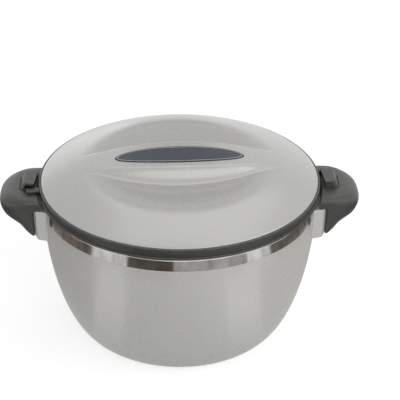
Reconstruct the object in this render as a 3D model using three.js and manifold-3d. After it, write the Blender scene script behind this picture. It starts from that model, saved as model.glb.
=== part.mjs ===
// A round thermal serving bowl with a twist-lock lid, in millimetres, +Z up.
// The origin is on the table under the middle of the bowl. +X runs through the right handle, -Y is the front.
// The bowl is a foam-filled double wall, a plastic shell round a steel bowl with its rim turned down.
// The lid is a foam-filled cover, ring and liner. Two lugs on its ring turn in under a block on each handle.

import * as THREE from 'three';
import { mergeVertices } from 'three/addons/utils/BufferGeometryUtils.js';
import Module from 'manifold-3d';

const wasm = await Module();
wasm.setup();

// Counts of facets
const roundSegments = 48;
const smallSegments = 16;
const arcSteps = 10;
const sideSteps = 5;

// Clearances
const fitGap = 0.3; // between nested curved pieces
const runGap = 0.6; // between pieces that move past each other
const cutOverrun = 5; // how far a cut runs past what it opens

// Outer shell
const footProud = 0.6; // how far the feet stand out under the shell
const shellBaseRadius = 82.3;
const shellTopRadius = 115.6;
const shellTop = 115.7; // height of the shoulder under the steel rim
const shellWall = 2.5;
const shellFloor = 3.4;
const shellCurveShares = [1.85, 0.61]; // exponents of the side's curve, as a superellipse

// Inner steel bowl
const steelWall = 0.6;
const foamWall = 9.9; // foam thickness beside the food
const bowlFloorHeight = 13.4; // underside of the steel above the table
const rimProud = 0.4; // how far the turned-down rim stands out past the shell
const rimHeight = 11.3; // of the rim above the shell's shoulder
const throatDepth = 6.5; // below the rim, where the steel starts to bend outward
const throatBend = 4.2;

// Brackets moulded on the shell, which carry the handles
const bracketProud = 4.7; // of the outer face past the shell's shoulder, at the top
const bracketLean = 1.4; // how far the outer face leans in toward its foot
const bracketHalfWidth = 29.6;
const bracketRootHalfWidth = 33;
const bracketRootDepth = 6.1; // how far inside the shoulder's radius the flared sides meet the shell
const bracketRise = 4.6; // of the top above the shoulder
const bracketHeight = 26.8;
const bracketChamfer = 3.2;
const reliefGap = 0.5; // between a bracket and the cut in the steel rim above it

// Handles
const handleLength = 32.3; // of the lobe, out from where it is widest
const handleOverlap = 1.3; // from the bracket's face in to where the lobe is widest
const handleHalfWidth = 31;
const handleHeight = 34.1;
const handleRise = 2.9; // of the lobe's top above the rim
const handleRingGap = 1.1; // between the handle and the lid ring
const handleRoundness = 2.8; // exponent of the lobe's outline
const handleHeightShares = [0, 0.1, 0.28, 0.41, 0.5, 0.72, 0.86, 0.95, 1]; // from foot to top
const handleReachShares = [0.21, 0.395, 0.585, 0.79, 0.92, 1, 0.95, 0.79, 0.6]; // of the lobe's length
const handleWidthShares = [0.955, 0.955, 0.965, 0.98, 0.99, 1, 1, 0.97, 0.9];

// Lock blocks on the handles
const blockHalfWidth = 11.6;
const blockHeight = 7.2; // above the lobe
const blockRoof = 2.8;
const blockGapBack = 1.8; // from the ring's bead to the top's inner edge, away from the front
const blockGapFront = 3.5;
const blockReachTop = 12.3; // from the ring's bead to the outer edge
const blockReachFoot = 17.6;
const blockEndWall = 3.2;

// Handle screws
const screwRadius = 1.9;
const screwHeadRadius = 3.5;
const screwHeadHeight = 2.2;
const screwOffset = 17; // from the middle of the handle
const screwRise = 15.4; // above the bracket's foot
const screwLength = 17.5;

// Base cover, its plug and the feet
const baseCoverGap = 3; // between the cover's edge and the feet
const baseCoverPlate = 1.5;
const baseRebate = 6; // width of the shelf that the cover sits on
const baseSkirtWall = 1.6;
const plugRadius = 6.7;
const plugHeadRadius = 9;
const plugHeadHeight = 0.8;
const footRadius = 6;
const footInset = 9.3; // of a foot's middle from the base's edge
const footHeight = 1.6;

// Lid ring and its lugs
const ringProud = 1.5; // of the skirt past the steel rim
const ringBeadProud = 0.4; // of the bead past the skirt
const ringBeadHeight = 2;
const ringBeadGroove = 0.9; // depth of the groove under the bead
const ringFootInset = 1.1;
const ringFootHeight = 1.4;
const ringHeight = 9.6; // above the steel rim
const ringFlange = 2.5; // thickness of the flange that carries the cover
const ringFlangeStep = 3.7; // from the liner's side out to the flange's inner edge
const ringSkirtWall = 4.5;
const lugReach = 11.1; // how far a lug stands out of the ring's skirt
const lugHeight = 3.2;
const lugLength = 6.5; // along the turn
const coverSeatDepth = 2.1; // below the ring's top

// Lid cover
const coverInset = 1.9; // of its edge from the ring's bead
const coverProud = 0.7; // of its edge above the ring
const coverRise = 20.9; // from the edge to the crown
const coverCurve = 2.6; // exponent of the dome
const coverWall = 2.5;
const coverFootWidth = 7.4;
const domeShares = [0, 0.3, 0.55, 0.75, 0.88, 0.95, 1];

// Finger scoops beside the bridge of the cover
const scoopRadiusShare = 0.664; // of the cover's radius
const scoopDepth = 5.2; // of the dish below its lip, in the middle
const scoopShares = [0, 0.4, 0.7, 0.9, 1];
const bridgeWidthShare = 0.302; // of the scoops' radius, half-width at the top, in the middle
const bridgeEndShare = 0.145;
const bridgeDraft = 4; // how much wider the bridge is at its foot
const bridgeSteps = 12;
const bridgeTurnShare = 0.0113; // how far the bridge is turned from the handles' line, of half a turn

// Badge on the bridge
const badgeLengthShare = 0.7; // of the scoops' radius
const badgeWidthShare = 0.602; // of the bridge's half-width
const badgeForward = 1.7; // of its middle from the bridge's
const badgeThickness = 1.2;
const badgeProud = 0.4;
const trimInset = 1.6;
const trimWidth = 0.9;
const trimThickness = 0.5;

// Lid liner and seal
const linerWall = 1.2;
const linerGap = 2.3; // round the liner, inside the steel throat
const linerOverlap = 3; // of the liner's flange under the ring's
const linerDepth = 12.2; // below the ring's flange
const linerCorner = 3.6;
const lidPlugRadius = 5;
const lidPlugHeadRadius = 7.5;
const lidPlugHeadHeight = 0.9;
const lidPlugLength = 6;
const sealGap = 0.5; // between the seal and the liner's flange
const sealLip = 1.4;

// Sizes that follow from those above: radii and reaches
const rimRadius = shellTopRadius + rimProud;
const neckRadius = rimRadius - steelWall - fitGap;
const bowlInset = shellWall + foamWall;
const bracketReach = shellTopRadius + bracketProud;
const bracketRootReach = shellTopRadius - bracketRootDepth;
const handleRoot = bracketReach - handleOverlap;
const handleReach = handleRoot + handleLength;
const footCircle = shellBaseRadius - footInset;
const baseCoverRadius = footCircle - footRadius - baseCoverGap;
const baseHoleRadius = baseCoverRadius - baseRebate;
const ringSkirtRadius = rimRadius + ringProud;
const ringBeadRadius = ringSkirtRadius + ringBeadProud;
const ringBoreRadius = ringSkirtRadius - ringSkirtWall;
const blockInnerBack = ringBeadRadius + blockGapBack;
const blockInnerFront = ringBeadRadius + blockGapFront;
const blockOuterTop = ringBeadRadius + blockReachTop;
const blockOuterFoot = ringBeadRadius + blockReachFoot;
const lugOuter = ringSkirtRadius + lugReach;
const lugStart = Math.asin((blockHalfWidth + fitGap) / ringSkirtRadius); // angle of a lug's near side
const lugEnd = lugStart + lugLength / lugOuter;
const pocketOuter = lugOuter + runGap;
const linerRadius = shellTopRadius - bowlInset - steelWall - linerGap;
const ringFlangeInner = linerRadius + ringFlangeStep;
const linerFlangeRadius = ringFlangeInner + linerOverlap;
const sealInner = linerFlangeRadius + sealGap;
const coverRadius = ringBeadRadius - coverInset;
const scoopRadius = coverRadius * scoopRadiusShare;
const bridgeHalfWidth = scoopRadius * bridgeWidthShare;
const bridgeEndHalfWidth = scoopRadius * bridgeEndShare;
const bridgeTurn = Math.PI * bridgeTurnShare;
const badgeHalfLength = scoopRadius * badgeLengthShare;
const badgeHalfWidth = bridgeHalfWidth * badgeWidthShare;

// Heights that follow
const seatZ = shellTop + fitGap; // lower edge of the steel rim
const rimTop = shellTop + rimHeight;
const throatHeight = rimTop - throatDepth;
const neckTop = rimTop - steelWall - fitGap;
const bracketTop = shellTop + bracketRise;
const bracketFoot = bracketTop - bracketHeight;
const screwHeight = bracketFoot + screwRise;
const handleTop = rimTop + handleRise;
const handleFoot = handleTop - handleHeight;
const blockTop = handleTop + blockHeight;
const pocketRoof = blockTop - blockRoof;
const lugFoot = handleTop + runGap;
const skirtFoot = rimTop + fitGap;
const ringTop = rimTop + ringHeight;
const coverSeat = ringTop - coverSeatDepth;
const flangeUnder = coverSeat - ringFlange;
const linerBottom = flangeUnder - linerDepth;
const coverEdge = ringTop + coverProud;

const materials = {
  shell: new THREE.MeshStandardMaterial({ color: 0xb4b3ae, roughness: 0.42, metalness: 0.25 }),
  cover: new THREE.MeshStandardMaterial({ color: 0xbfbeba, roughness: 0.38, metalness: 0.2 }),
  steel: new THREE.MeshStandardMaterial({ color: 0xc9c7c2, roughness: 0.12, metalness: 1 }),
  handle: new THREE.MeshStandardMaterial({ color: 0x55564f, roughness: 0.5, metalness: 0 }),
  ring: new THREE.MeshStandardMaterial({ color: 0x484b46, roughness: 0.4, metalness: 0 }),
  liner: new THREE.MeshStandardMaterial({ color: 0xd8d8d4, roughness: 0.4, metalness: 0 }),
  foam: new THREE.MeshStandardMaterial({ color: 0xe6dfc0, roughness: 0.95, metalness: 0 }),
  rubber: new THREE.MeshStandardMaterial({ color: 0x2e2f2e, roughness: 0.8, metalness: 0 }),
  badge: new THREE.MeshStandardMaterial({ color: 0x4d5565, roughness: 0.3, metalness: 0.3 }),
  trim: new THREE.MeshStandardMaterial({ color: 0xc4c8cc, roughness: 0.25, metalness: 0.9 }),
  screw: new THREE.MeshStandardMaterial({ color: 0x9c9c98, roughness: 0.35, metalness: 1 }),
};

// Turns a closed geometry into a solid that can be joined and cut.
function solidOf(geometry) {
  const plain = geometry.clone();
  plain.deleteAttribute('normal');
  plain.deleteAttribute('uv');
  const merged = mergeVertices(plain);
  const corners = merged.index.array;
  const triangles = [];
  for (let i = 0; i < corners.length; i += 3) {
    const [a, b, c] = corners.slice(i, i + 3);
    if (a !== b && b !== c && c !== a) triangles.push(a, b, c);
  }
  return new wasm.Manifold(new wasm.Mesh({
    numProp: 3,
    vertProperties: new Float32Array(merged.attributes.position.array),
    triVerts: new Uint32Array(triangles),
  }));
}

function geometryOf(solid) {
  const mesh = solid.getMesh();
  const geometry = new THREE.BufferGeometry();
  geometry.setAttribute('position', new THREE.BufferAttribute(mesh.vertProperties, 3));
  geometry.setIndex(new THREE.BufferAttribute(mesh.triVerts, 1));
  const flat = geometry.toNonIndexed();
  flat.computeVertexNormals();
  return flat;
}

// Spins an outline of [radius, height] pairs round the Z axis.
function spun(outline, segments = roundSegments) {
  const points = outline.map(([radius, height]) => new THREE.Vector2(radius, height));
  return new THREE.LatheGeometry(points, segments).rotateX(Math.PI / 2);
}

// Spins an outline that closes on itself away from the axis.
const spunRing = (outline, segments = roundSegments) => spun([...outline, outline[0]], segments);

const spunSolid = (outline, segments = roundSegments) => solidOf(spun(outline, segments));

// A cylinder about the Z axis between two heights.
function drum(radius, low, high, segments = roundSegments) {
  return spunSolid([[0, low], [radius, low], [radius, high], [0, high]], segments);
}

// A plan outline raised between two heights.
function prism(outline, low, high) {
  const shape = new THREE.Shape(outline.map(([x, y]) => new THREE.Vector2(x, y)));
  const bar = new THREE.ExtrudeGeometry(shape, { depth: high - low, bevelEnabled: false });
  return solidOf(bar.translate(0, 0, low));
}

// A side outline of [x, z] pairs carried across from -halfWidth to halfWidth in Y.
function sideProfile(outline, halfWidth) {
  const shape = new THREE.Shape(outline.map(([x, z]) => new THREE.Vector2(x, z)));
  const bar = new THREE.ExtrudeGeometry(shape, { depth: 2 * halfWidth, bevelEnabled: false });
  return solidOf(bar.translate(0, 0, -halfWidth).rotateX(Math.PI / 2));
}

// Joins level outlines of [x, y] pairs, one at each height, into one closed solid.
function loft(outlines, heights) {
  const count = outlines[0].length;
  const positions = outlines.flatMap((outline, level) => outline.flatMap(([x, y]) => [x, y, heights[level]]));
  const triangles = [];
  for (let level = 0; level + 1 < outlines.length; level += 1) {
    for (let i = 0; i < count; i += 1) {
      const a = level * count + i;
      const b = level * count + ((i + 1) % count);
      triangles.push(a, b, b + count, a, b + count, a + count);
    }
  }
  const last = (outlines.length - 1) * count;
  for (let i = 1; i + 1 < count; i += 1) {
    triangles.push(0, i + 1, i, last, last + i, last + i + 1);
  }
  const geometry = new THREE.BufferGeometry();
  geometry.setAttribute('position', new THREE.Float32BufferAttribute(positions, 3));
  geometry.setIndex(triangles);
  return solidOf(geometry);
}

const assembly = new THREE.Group();

function addPart(name, shape, material) {
  const geometry = shape instanceof wasm.Manifold ? geometryOf(shape) : shape;
  const mesh = new THREE.Mesh(geometry, material);
  mesh.name = name;
  assembly.add(mesh);
  return mesh;
}

// The side's curve: the share of the way from base radius to top radius at a share of the height.
function sideShare(heightShare) {
  return (1 - (1 - heightShare) ** shellCurveShares[0]) ** shellCurveShares[1];
}

// Radius of the shell's outside at a height.
function shellRadius(z) {
  const heightShare = (z - footProud) / (shellTop - footProud);
  return shellBaseRadius + (shellTopRadius - shellBaseRadius) * sideShare(heightShare);
}

// The side of a surface set in from the shell's outside, from its bottom height up to the shoulder.
function sidePoints(inset, bottom, steps) {
  const baseRadius = inset > 0 ? shellRadius(bottom) - 2 * inset : shellBaseRadius;
  const points = [];
  for (let i = 0; i <= steps; i += 1) {
    const share = (i / steps) ** 2;
    const radius = baseRadius + (shellTopRadius - inset - baseRadius) * sideShare(share);
    points.push([radius, bottom + (shellTop - bottom) * share]);
  }
  return points;
}

const shifted = (outline, outward, upward) => outline.map(([radius, z]) => [radius + outward, z + upward]);

const bracketInner = neckRadius - bracketRootHalfWidth;

// The right bracket's side outline carried across, far wider than the bracket, grown all round by a gap.
function bracketBar(grow) {
  const top = bracketTop + grow;
  const foot = bracketFoot - grow;
  const reach = bracketReach + grow;
  return sideProfile([
    [bracketInner, foot],
    [reach - bracketLean - bracketChamfer / 2, foot],
    [reach - bracketLean, foot + bracketChamfer],
    [reach, top],
    [bracketInner, top],
  ], bracketRootHalfWidth * 2);
}

// A bracket on the right side.
function bracketSolid() {
  const flare = (bracketRootHalfWidth - bracketHalfWidth) / (bracketReach - bracketRootReach);
  const innerHalf = bracketHalfWidth + flare * (bracketReach - bracketInner);
  const plan = prism([
    [bracketInner, -innerHalf],
    [bracketReach, -bracketHalfWidth],
    [bracketReach, bracketHalfWidth],
    [bracketInner, innerHalf],
  ], bracketFoot - cutOverrun, bracketTop + cutOverrun);
  return bracketBar(0).intersect(plan);
}

// A cylinder along X at one of the screw places of the right handle.
function screwBore(radius, from, to, side) {
  const bore = new THREE.CylinderGeometry(radius, radius, to - from, smallSegments).rotateZ(Math.PI / 2);
  return solidOf(bore.translate((from + to) / 2, side * screwOffset, screwHeight));
}

// Where a screw's head sits against the inside of the shell, clear of the wall's facets.
const screwWall = (shellRadius(bracketFoot) - shellWall) * Math.cos(Math.PI / roundSegments);
const screwSeat = Math.sqrt(screwWall ** 2 - (screwOffset + screwHeadRadius) ** 2) - fitGap;
const screwTip = screwSeat + screwLength;

const turned = (solid) => solid.rotate([0, 0, 180]);

function onBothSides(solid) {
  return solid.add(turned(solid));
}

function outerShell() {
  const floorTop = footProud + shellFloor;
  const outside = spunSolid([
    [0, footProud],
    ...sidePoints(0, footProud, sideSteps + 1),
    [neckRadius, shellTop],
    [neckRadius, neckTop],
    [0, neckTop],
  ]);
  const neckBore = neckRadius - shellWall;
  const inside = spunSolid([
    [0, floorTop],
    ...sidePoints(shellWall, floorTop, sideSteps).slice(0, -1),
    [neckBore, shellTop],
    [neckBore, neckTop + cutOverrun],
    [0, neckTop + cutOverrun],
  ]);
  let shell = outside.add(onBothSides(bracketSolid())).subtract(inside);
  for (const side of [-1, 1]) {
    shell = shell.subtract(onBothSides(screwBore(screwRadius + fitGap, screwSeat, screwTip, side)));
  }
  const rebateTop = footProud + shellFloor / 2;
  shell = shell.subtract(drum(baseCoverRadius + fitGap, footProud - cutOverrun, rebateTop));
  shell = shell.subtract(drum(baseHoleRadius, footProud - cutOverrun, floorTop + cutOverrun));
  for (let i = 0; i < 4; i += 1) {
    shell = shell.subtract(footSocket(i));
  }
  return shell;
}

// The middle of a foot, on the diagonals of the base.
function footPlace(index) {
  const angle = Math.PI / 4 + (index * Math.PI) / 2;
  return [footCircle * Math.cos(angle), footCircle * Math.sin(angle)];
}

function footSocket(index) {
  const [x, y] = footPlace(index);
  return drum(footRadius + fitGap, footProud - cutOverrun, footHeight, smallSegments).translate([x, y, 0]);
}

function footPad(index) {
  const [x, y] = footPlace(index);
  const chamfer = footHeight / 4;
  return spun([
    [0, 0],
    [footRadius - chamfer, 0],
    [footRadius, chamfer],
    [footRadius, footHeight],
    [0, footHeight],
  ], smallSegments).translate(x, y, 0);
}

function baseCover() {
  const plateTop = footProud + shellFloor / 2;
  const plateFoot = plateTop - baseCoverPlate;
  const skirtTop = footProud + shellFloor;
  const skirtRadius = baseHoleRadius - fitGap;
  const cover = spunSolid([
    [0, plateFoot],
    [baseCoverRadius, plateFoot],
    [baseCoverRadius, plateTop],
    [skirtRadius, plateTop],
    [skirtRadius, skirtTop],
    [skirtRadius - baseSkirtWall, skirtTop],
    [skirtRadius - baseSkirtWall, plateTop],
    [0, plateTop],
  ]);
  const low = plateFoot - cutOverrun;
  const bore = drum(plugRadius + fitGap, low, skirtTop, smallSegments);
  const counterbore = drum(plugHeadRadius + fitGap, low, plateFoot + plugHeadHeight, smallSegments);
  return cover.subtract(bore).subtract(counterbore);
}

function foamFillPlug() {
  const foot = footProud + shellFloor / 2 - baseCoverPlate;
  const top = footProud + shellFloor;
  return spun([
    [0, foot],
    [plugHeadRadius, foot],
    [plugHeadRadius, foot + plugHeadHeight],
    [plugRadius, foot + plugHeadHeight],
    [plugRadius, top],
    [0, top],
  ], smallSegments);
}

// The steel bowl, with its wall bent outward over the shell's neck and turned down outside it.
function innerBowl() {
  const outer = sidePoints(bowlInset, bowlFloorHeight, sideSteps);
  const throat = shellTopRadius - bowlInset;
  const inner = outer
    .map(([radius, z]) => [radius - steelWall, z + steelWall * (1 - z / shellTop)])
    .reverse();
  const rimUnder = rimTop - steelWall;
  const bowl = spunSolid([
    [0, bowlFloorHeight],
    ...outer,
    [throat, throatHeight],
    [throat + throatBend / 3, rimUnder - throatBend / 3],
    [throat + throatBend, rimUnder],
    [rimRadius - steelWall, rimUnder],
    [rimRadius - steelWall, seatZ],
    [rimRadius, seatZ],
    [rimRadius, rimTop - steelWall],
    [rimRadius - steelWall, rimTop],
    [throat + throatBend - steelWall / 2, rimTop],
    [throat + throatBend / 3 - steelWall, rimTop - throatBend / 3],
    [throat - steelWall, throatHeight],
    ...inner,
    [0, bowlFloorHeight + steelWall],
  ]);
  const cutHalf = bracketRootHalfWidth + 2 * reliefGap;
  const cutInner = (throat + rimRadius) / 2 - reliefGap;
  const cut = prism([
    [cutInner, -cutHalf],
    [rimRadius + cutOverrun, -cutHalf],
    [rimRadius + cutOverrun, cutHalf],
    [cutInner, cutHalf],
  ], seatZ - cutOverrun, bracketTop + reliefGap);
  return bowl.subtract(onBothSides(cut));
}

function bodyFoam() {
  const bottom = footProud + shellFloor;
  const outer = shifted(sidePoints(shellWall, bottom, sideSteps), -fitGap, fitGap);
  const inner = shifted(sidePoints(bowlInset, bowlFloorHeight, sideSteps), fitGap, -fitGap).reverse();
  const neckBore = neckRadius - shellWall - fitGap;
  const throat = shellTopRadius - bowlInset + fitGap;
  const top = throatHeight - fitGap;
  let foam = spunSolid([
    [0, bottom + fitGap],
    ...outer.slice(0, -1),
    [neckBore, shellTop],
    [neckBore, top],
    [throat, top],
    ...inner,
    [0, bowlFloorHeight - fitGap],
  ]);
  for (const side of [-1, 1]) {
    const pocket = screwBore(screwHeadRadius + fitGap, screwSeat - screwHeadHeight - fitGap, screwTip, side);
    foam = foam.subtract(onBothSides(pocket));
  }
  return foam;
}

// The outline of a lobe: straight at the root and rounded outside.
function lobeOutline(reach, halfWidth) {
  const outline = [];
  for (let i = 0; i <= 2 * arcSteps; i += 1) {
    const angle = ((i / arcSteps - 1) * Math.PI) / 2;
    const across = Math.abs(Math.sin(angle)) ** (2 / handleRoundness) * Math.sign(Math.sin(angle));
    const along = Math.max(Math.cos(angle), 0) ** (2 / handleRoundness);
    outline.push([handleRoot + (reach - handleRoot) * along, halfWidth * across]);
  }
  const inner = bracketRootReach;
  return [[inner, -halfWidth], ...outline, [inner, halfWidth]];
}

// A handle on the right side. Front is the Y side, -1 or 1, on which the block is cut back from the ring.
function handle(front) {
  const heights = handleHeightShares.map((share) => handleFoot + (handleTop - handleFoot) * share);
  const outlines = heights.map((height, i) => lobeOutline(
    handleRoot + (handleReach - handleRoot) * handleReachShares[i],
    handleHalfWidth * handleWidthShares[i],
  ));
  const blockOutline = (outer) => [
    [blockInnerFront, front * blockHalfWidth],
    [outer - (blockOuterFoot - blockOuterTop) / 2, front * blockHalfWidth],
    [outer, front * blockHalfWidth * 0.6],
    [outer, -front * blockHalfWidth * 0.6],
    [outer - (blockOuterFoot - blockOuterTop) / 2, -front * blockHalfWidth],
    [blockInnerBack, -front * blockHalfWidth],
  ];
  const wind = (outline) => (front < 0 ? outline : [...outline].reverse());
  const blockReaches = [blockOuterFoot, blockOuterFoot, blockOuterTop];
  const block = loft(
    blockReaches.map((reach) => wind(blockOutline(reach))),
    [handleTop - blockRoof, handleTop, blockTop],
  );
  const pocketEnd = blockEndWall - blockHalfWidth;
  const pocket = prism([
    [ringSkirtRadius - cutOverrun, pocketEnd],
    [pocketOuter + cutOverrun, pocketEnd],
    [pocketOuter + cutOverrun, blockHalfWidth + cutOverrun],
    [ringSkirtRadius - cutOverrun, blockHalfWidth + cutOverrun],
  ], handleTop, pocketRoof).intersect(drum(pocketOuter, handleTop, pocketRoof));
  let lobe = loft(outlines, heights).add(block).subtract(pocket);
  lobe = lobe.subtract(drum(ringBeadRadius + handleRingGap, handleFoot - cutOverrun, blockTop + cutOverrun));
  lobe = lobe.subtract(bracketBar(fitGap));
  for (const side of [-1, 1]) {
    lobe = lobe.subtract(screwBore(screwRadius + fitGap, screwSeat, screwTip + fitGap, side));
  }
  return lobe;
}

// A screw along X, its head inside the shell, for the right handle.
function handleScrew(side) {
  const screw = spun([
    [0, -screwHeadHeight],
    [screwHeadRadius, -screwHeadHeight],
    [screwHeadRadius, 0],
    [screwRadius, 0],
    [screwRadius, screwLength],
    [0, screwLength],
  ], smallSegments);
  return screw.rotateY(Math.PI / 2).translate(screwSeat, side * screwOffset, screwHeight);
}

// The dome's height at a radius, raised or lowered by an offset.
function domeHeight(radius) {
  return coverEdge + coverRise * (1 - (radius / coverRadius) ** coverCurve);
}

function domePoints(offset, radius) {
  return domeShares.map((share) => [radius * share, domeHeight(radius * share) + offset]).reverse();
}

// Everything under the dome, raised or lowered by an offset, down to a height.
function domeSolid(offset, radius, low) {
  return spunSolid([[0, low], [radius, low], ...domePoints(offset, radius)]);
}

// The bridge between the scoops, grown sideways.
function bridgeSolid(grow, low, high) {
  const halfLength = scoopRadius + cutOverrun;
  const outline = (extra) => {
    const points = [];
    for (let i = 0; i <= bridgeSteps; i += 1) {
      const share = (2 * i) / bridgeSteps - 1;
      const half = bridgeEndHalfWidth + (bridgeHalfWidth - bridgeEndHalfWidth) * (1 - share ** 2);
      points.push([share * halfLength, -half - extra]);
    }
    return [...points, ...[...points].reverse().map(([x, y]) => [x, -y])];
  };
  const rise = domeHeight(0) - domeHeight(scoopRadius) + scoopDepth;
  const foot = domeHeight(0) - rise;
  const slope = bridgeDraft / rise;
  const extraAt = (z) => grow + slope * (foot + rise - z);
  return loft([outline(extraAt(low)), outline(extraAt(high))], [low, high]);
}

// What the two finger scoops take out of the dome. Drop lowers the floor and widens the cut all round.
function scoopSolid(drop) {
  const top = domeHeight(0) + cutOverrun;
  const radius = scoopRadius + drop;
  const lip = domeHeight(scoopRadius) - drop;
  const floor = scoopShares.map((share) => [radius * share, lip - scoopDepth * (1 - share ** 2)]);
  const dish = spunSolid([...floor, [radius, top], [0, top]]);
  const low = lip - scoopDepth - cutOverrun;
  return dish.subtract(bridgeSolid(-drop, low, top + cutOverrun));
}

// A pointed oval on the bridge, as a plan outline.
function badgeOutline(inset) {
  const outline = [];
  for (let i = 0; i <= arcSteps; i += 1) {
    const share = (2 * i) / arcSteps - 1;
    const half = (badgeHalfWidth - inset) * Math.sqrt(1.03 - share ** 2);
    outline.push([share * (badgeHalfLength - inset), half]);
  }
  const front = outline.map(([x, y]) => [x, -y - badgeForward]);
  const rear = outline.map(([x, y]) => [x, y - badgeForward]).reverse();
  return [...front, ...rear];
}

// A skin over the dome between two offsets, cut to a plan outline.
function domeSkin(outline, low, high) {
  const under = domeEdgeLow();
  const skin = domeSolid(high, coverRadius, under).subtract(domeSolid(low, coverRadius, under));
  return skin.intersect(prism(outline, under - cutOverrun, domeHeight(0) + cutOverrun));
}

const domeEdgeLow = () => coverSeat - coverWall;

function lidCover() {
  const innerRadius = coverRadius - coverFootWidth;
  const outside = domeSolid(0, coverRadius, coverSeat).subtract(scoopSolid(0));
  const inside = domeSolid(-coverWall, innerRadius, coverSeat - cutOverrun).subtract(scoopSolid(coverWall));
  const badgeFloor = badgeProud - badgeThickness - fitGap;
  const badgeBed = prism(badgeOutline(-fitGap), coverSeat, domeHeight(0) + cutOverrun)
    .subtract(domeSolid(badgeFloor, coverRadius, coverSeat - cutOverrun));
  const bore = drum(lidPlugRadius + fitGap, coverSeat, domeHeight(0) + cutOverrun, smallSegments);
  const headFoot = domeHeight(0) + badgeFloor - lidPlugHeadHeight;
  const counterbore = drum(lidPlugHeadRadius + fitGap, headFoot, domeHeight(0) + cutOverrun, smallSegments);
  return outside.subtract(inside).subtract(badgeBed).subtract(bore).subtract(counterbore);
}

function lidFillPlug() {
  const headTop = domeHeight(badgeHalfWidth) + badgeProud - badgeThickness - fitGap;
  const headFoot = domeHeight(0) + badgeProud - badgeThickness - fitGap - lidPlugHeadHeight;
  return spun([
    [0, headFoot - lidPlugLength],
    [lidPlugRadius, headFoot - lidPlugLength],
    [lidPlugRadius, headFoot],
    [lidPlugHeadRadius, headFoot],
    [lidPlugHeadRadius, headTop],
    [0, headTop],
  ], smallSegments);
}

function badgePlate() {
  return domeSkin(badgeOutline(0), badgeProud - badgeThickness, badgeProud);
}

function badgeTrim() {
  const low = badgeProud + fitGap;
  const outer = domeSkin(badgeOutline(trimInset), low, low + trimThickness);
  const hole = prism(badgeOutline(trimInset + trimWidth), domeEdgeLow(), domeHeight(0) + cutOverrun);
  return outer.subtract(hole);
}

// The ring round the cover's edge, with the two lugs that lock the lid.
function lidRing() {
  const beadFoot = ringTop - ringBeadHeight;
  const grooveRadius = ringBeadRadius - ringBeadGroove;
  const chamfer = ringBeadHeight / 6;
  const footRadiusOut = ringSkirtRadius - ringFootInset;
  const ring = solidOf(spunRing([
    [ringBoreRadius, skirtFoot],
    [footRadiusOut, skirtFoot],
    [footRadiusOut, skirtFoot + ringFootHeight],
    [ringSkirtRadius, skirtFoot + ringFootHeight + chamfer],
    [ringSkirtRadius, beadFoot - ringBeadGroove],
    [grooveRadius, beadFoot - ringBeadGroove / 2],
    [ringBeadRadius, beadFoot],
    [ringBeadRadius, ringTop - chamfer],
    [ringBeadRadius - chamfer, ringTop],
    [coverRadius + fitGap, ringTop],
    [coverRadius + fitGap, coverSeat],
    [ringFlangeInner, coverSeat],
    [ringFlangeInner, flangeUnder],
    [ringBoreRadius, flangeUnder],
  ]));
  return ring.add(onBothSides(lug()));
}

// A lug at the rear of the right handle's block, as a sector standing out of the ring.
function lug() {
  const root = ringSkirtRadius - ringSkirtWall / 2;
  const inner = [];
  const outer = [];
  for (let i = 0; i <= 2; i += 1) {
    const angle = lugStart + ((lugEnd - lugStart) * i) / 2;
    inner.push([root * Math.cos(angle), root * Math.sin(angle)]);
    outer.push([lugOuter * Math.cos(angle), lugOuter * Math.sin(angle)]);
  }
  return prism([...outer, ...inner.reverse()], lugFoot, lugFoot + lugHeight);
}

function lidLiner() {
  const top = flangeUnder;
  const bottom = linerBottom;
  return spun([
    [0, bottom],
    [linerRadius - linerCorner, bottom],
    [linerRadius - linerWall / 2, bottom + linerCorner / 2],
    [linerRadius, top - linerWall],
    [linerFlangeRadius, top - linerWall],
    [linerFlangeRadius, top],
    [linerRadius - linerWall, top],
    [linerRadius - 1.5 * linerWall, bottom + linerCorner / 2 + linerWall / 2],
    [linerRadius - linerCorner - linerWall / 2, bottom + linerWall],
    [0, bottom + linerWall],
  ]);
}

function lidFoam() {
  const radius = linerRadius - linerCorner - fitGap;
  const low = linerBottom + linerWall + fitGap;
  const drop = coverWall + fitGap;
  const boreTop = domeHeight(0) + cutOverrun;
  const badgeFoot = domeHeight(0) + badgeProud - badgeThickness;
  const plugFoot = badgeFoot - lidPlugHeadHeight - lidPlugLength - 2 * fitGap;
  return domeSolid(-drop, radius, low)
    .subtract(scoopSolid(drop))
    .subtract(drum(lidPlugRadius + fitGap, plugFoot, boreTop, smallSegments));
}

// The seal under the lid ring, with a thin lip toward the bowl's throat.
function lidSeal() {
  const outer = ringBoreRadius - 2 * fitGap;
  const low = rimTop + fitGap;
  const high = flangeUnder - fitGap;
  return spunRing([
    [sealInner, low + sealLip],
    [sealInner + sealLip, low],
    [outer, low],
    [outer, high],
    [sealInner, high],
  ]);
}

addPart('outer_shell', outerShell(), materials.shell);
addPart('inner_bowl', innerBowl(), materials.steel);
addPart('body_foam', bodyFoam(), materials.foam);
addPart('base_cover', baseCover(), materials.ring);
addPart('foam_fill_plug', foamFillPlug(), materials.ring);
for (let i = 0; i < 4; i += 1) {
  addPart(`foot_pad_${i + 1}`, footPad(i), materials.rubber);
}
addPart('handle_right', handle(-1), materials.handle);
addPart('handle_left', handle(1), materials.handle).rotation.z = Math.PI;
addPart('handle_screw_right_front', handleScrew(-1), materials.screw);
addPart('handle_screw_right_rear', handleScrew(1), materials.screw);
addPart('handle_screw_left_rear', handleScrew(-1), materials.screw).rotation.z = Math.PI;
addPart('handle_screw_left_front', handleScrew(1), materials.screw).rotation.z = Math.PI;
addPart('lid_cover', lidCover(), materials.cover).rotation.z = bridgeTurn;
addPart('lid_ring', lidRing(), materials.ring);
addPart('lid_liner', lidLiner(), materials.liner);
addPart('lid_foam', lidFoam(), materials.foam).rotation.z = bridgeTurn;
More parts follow.
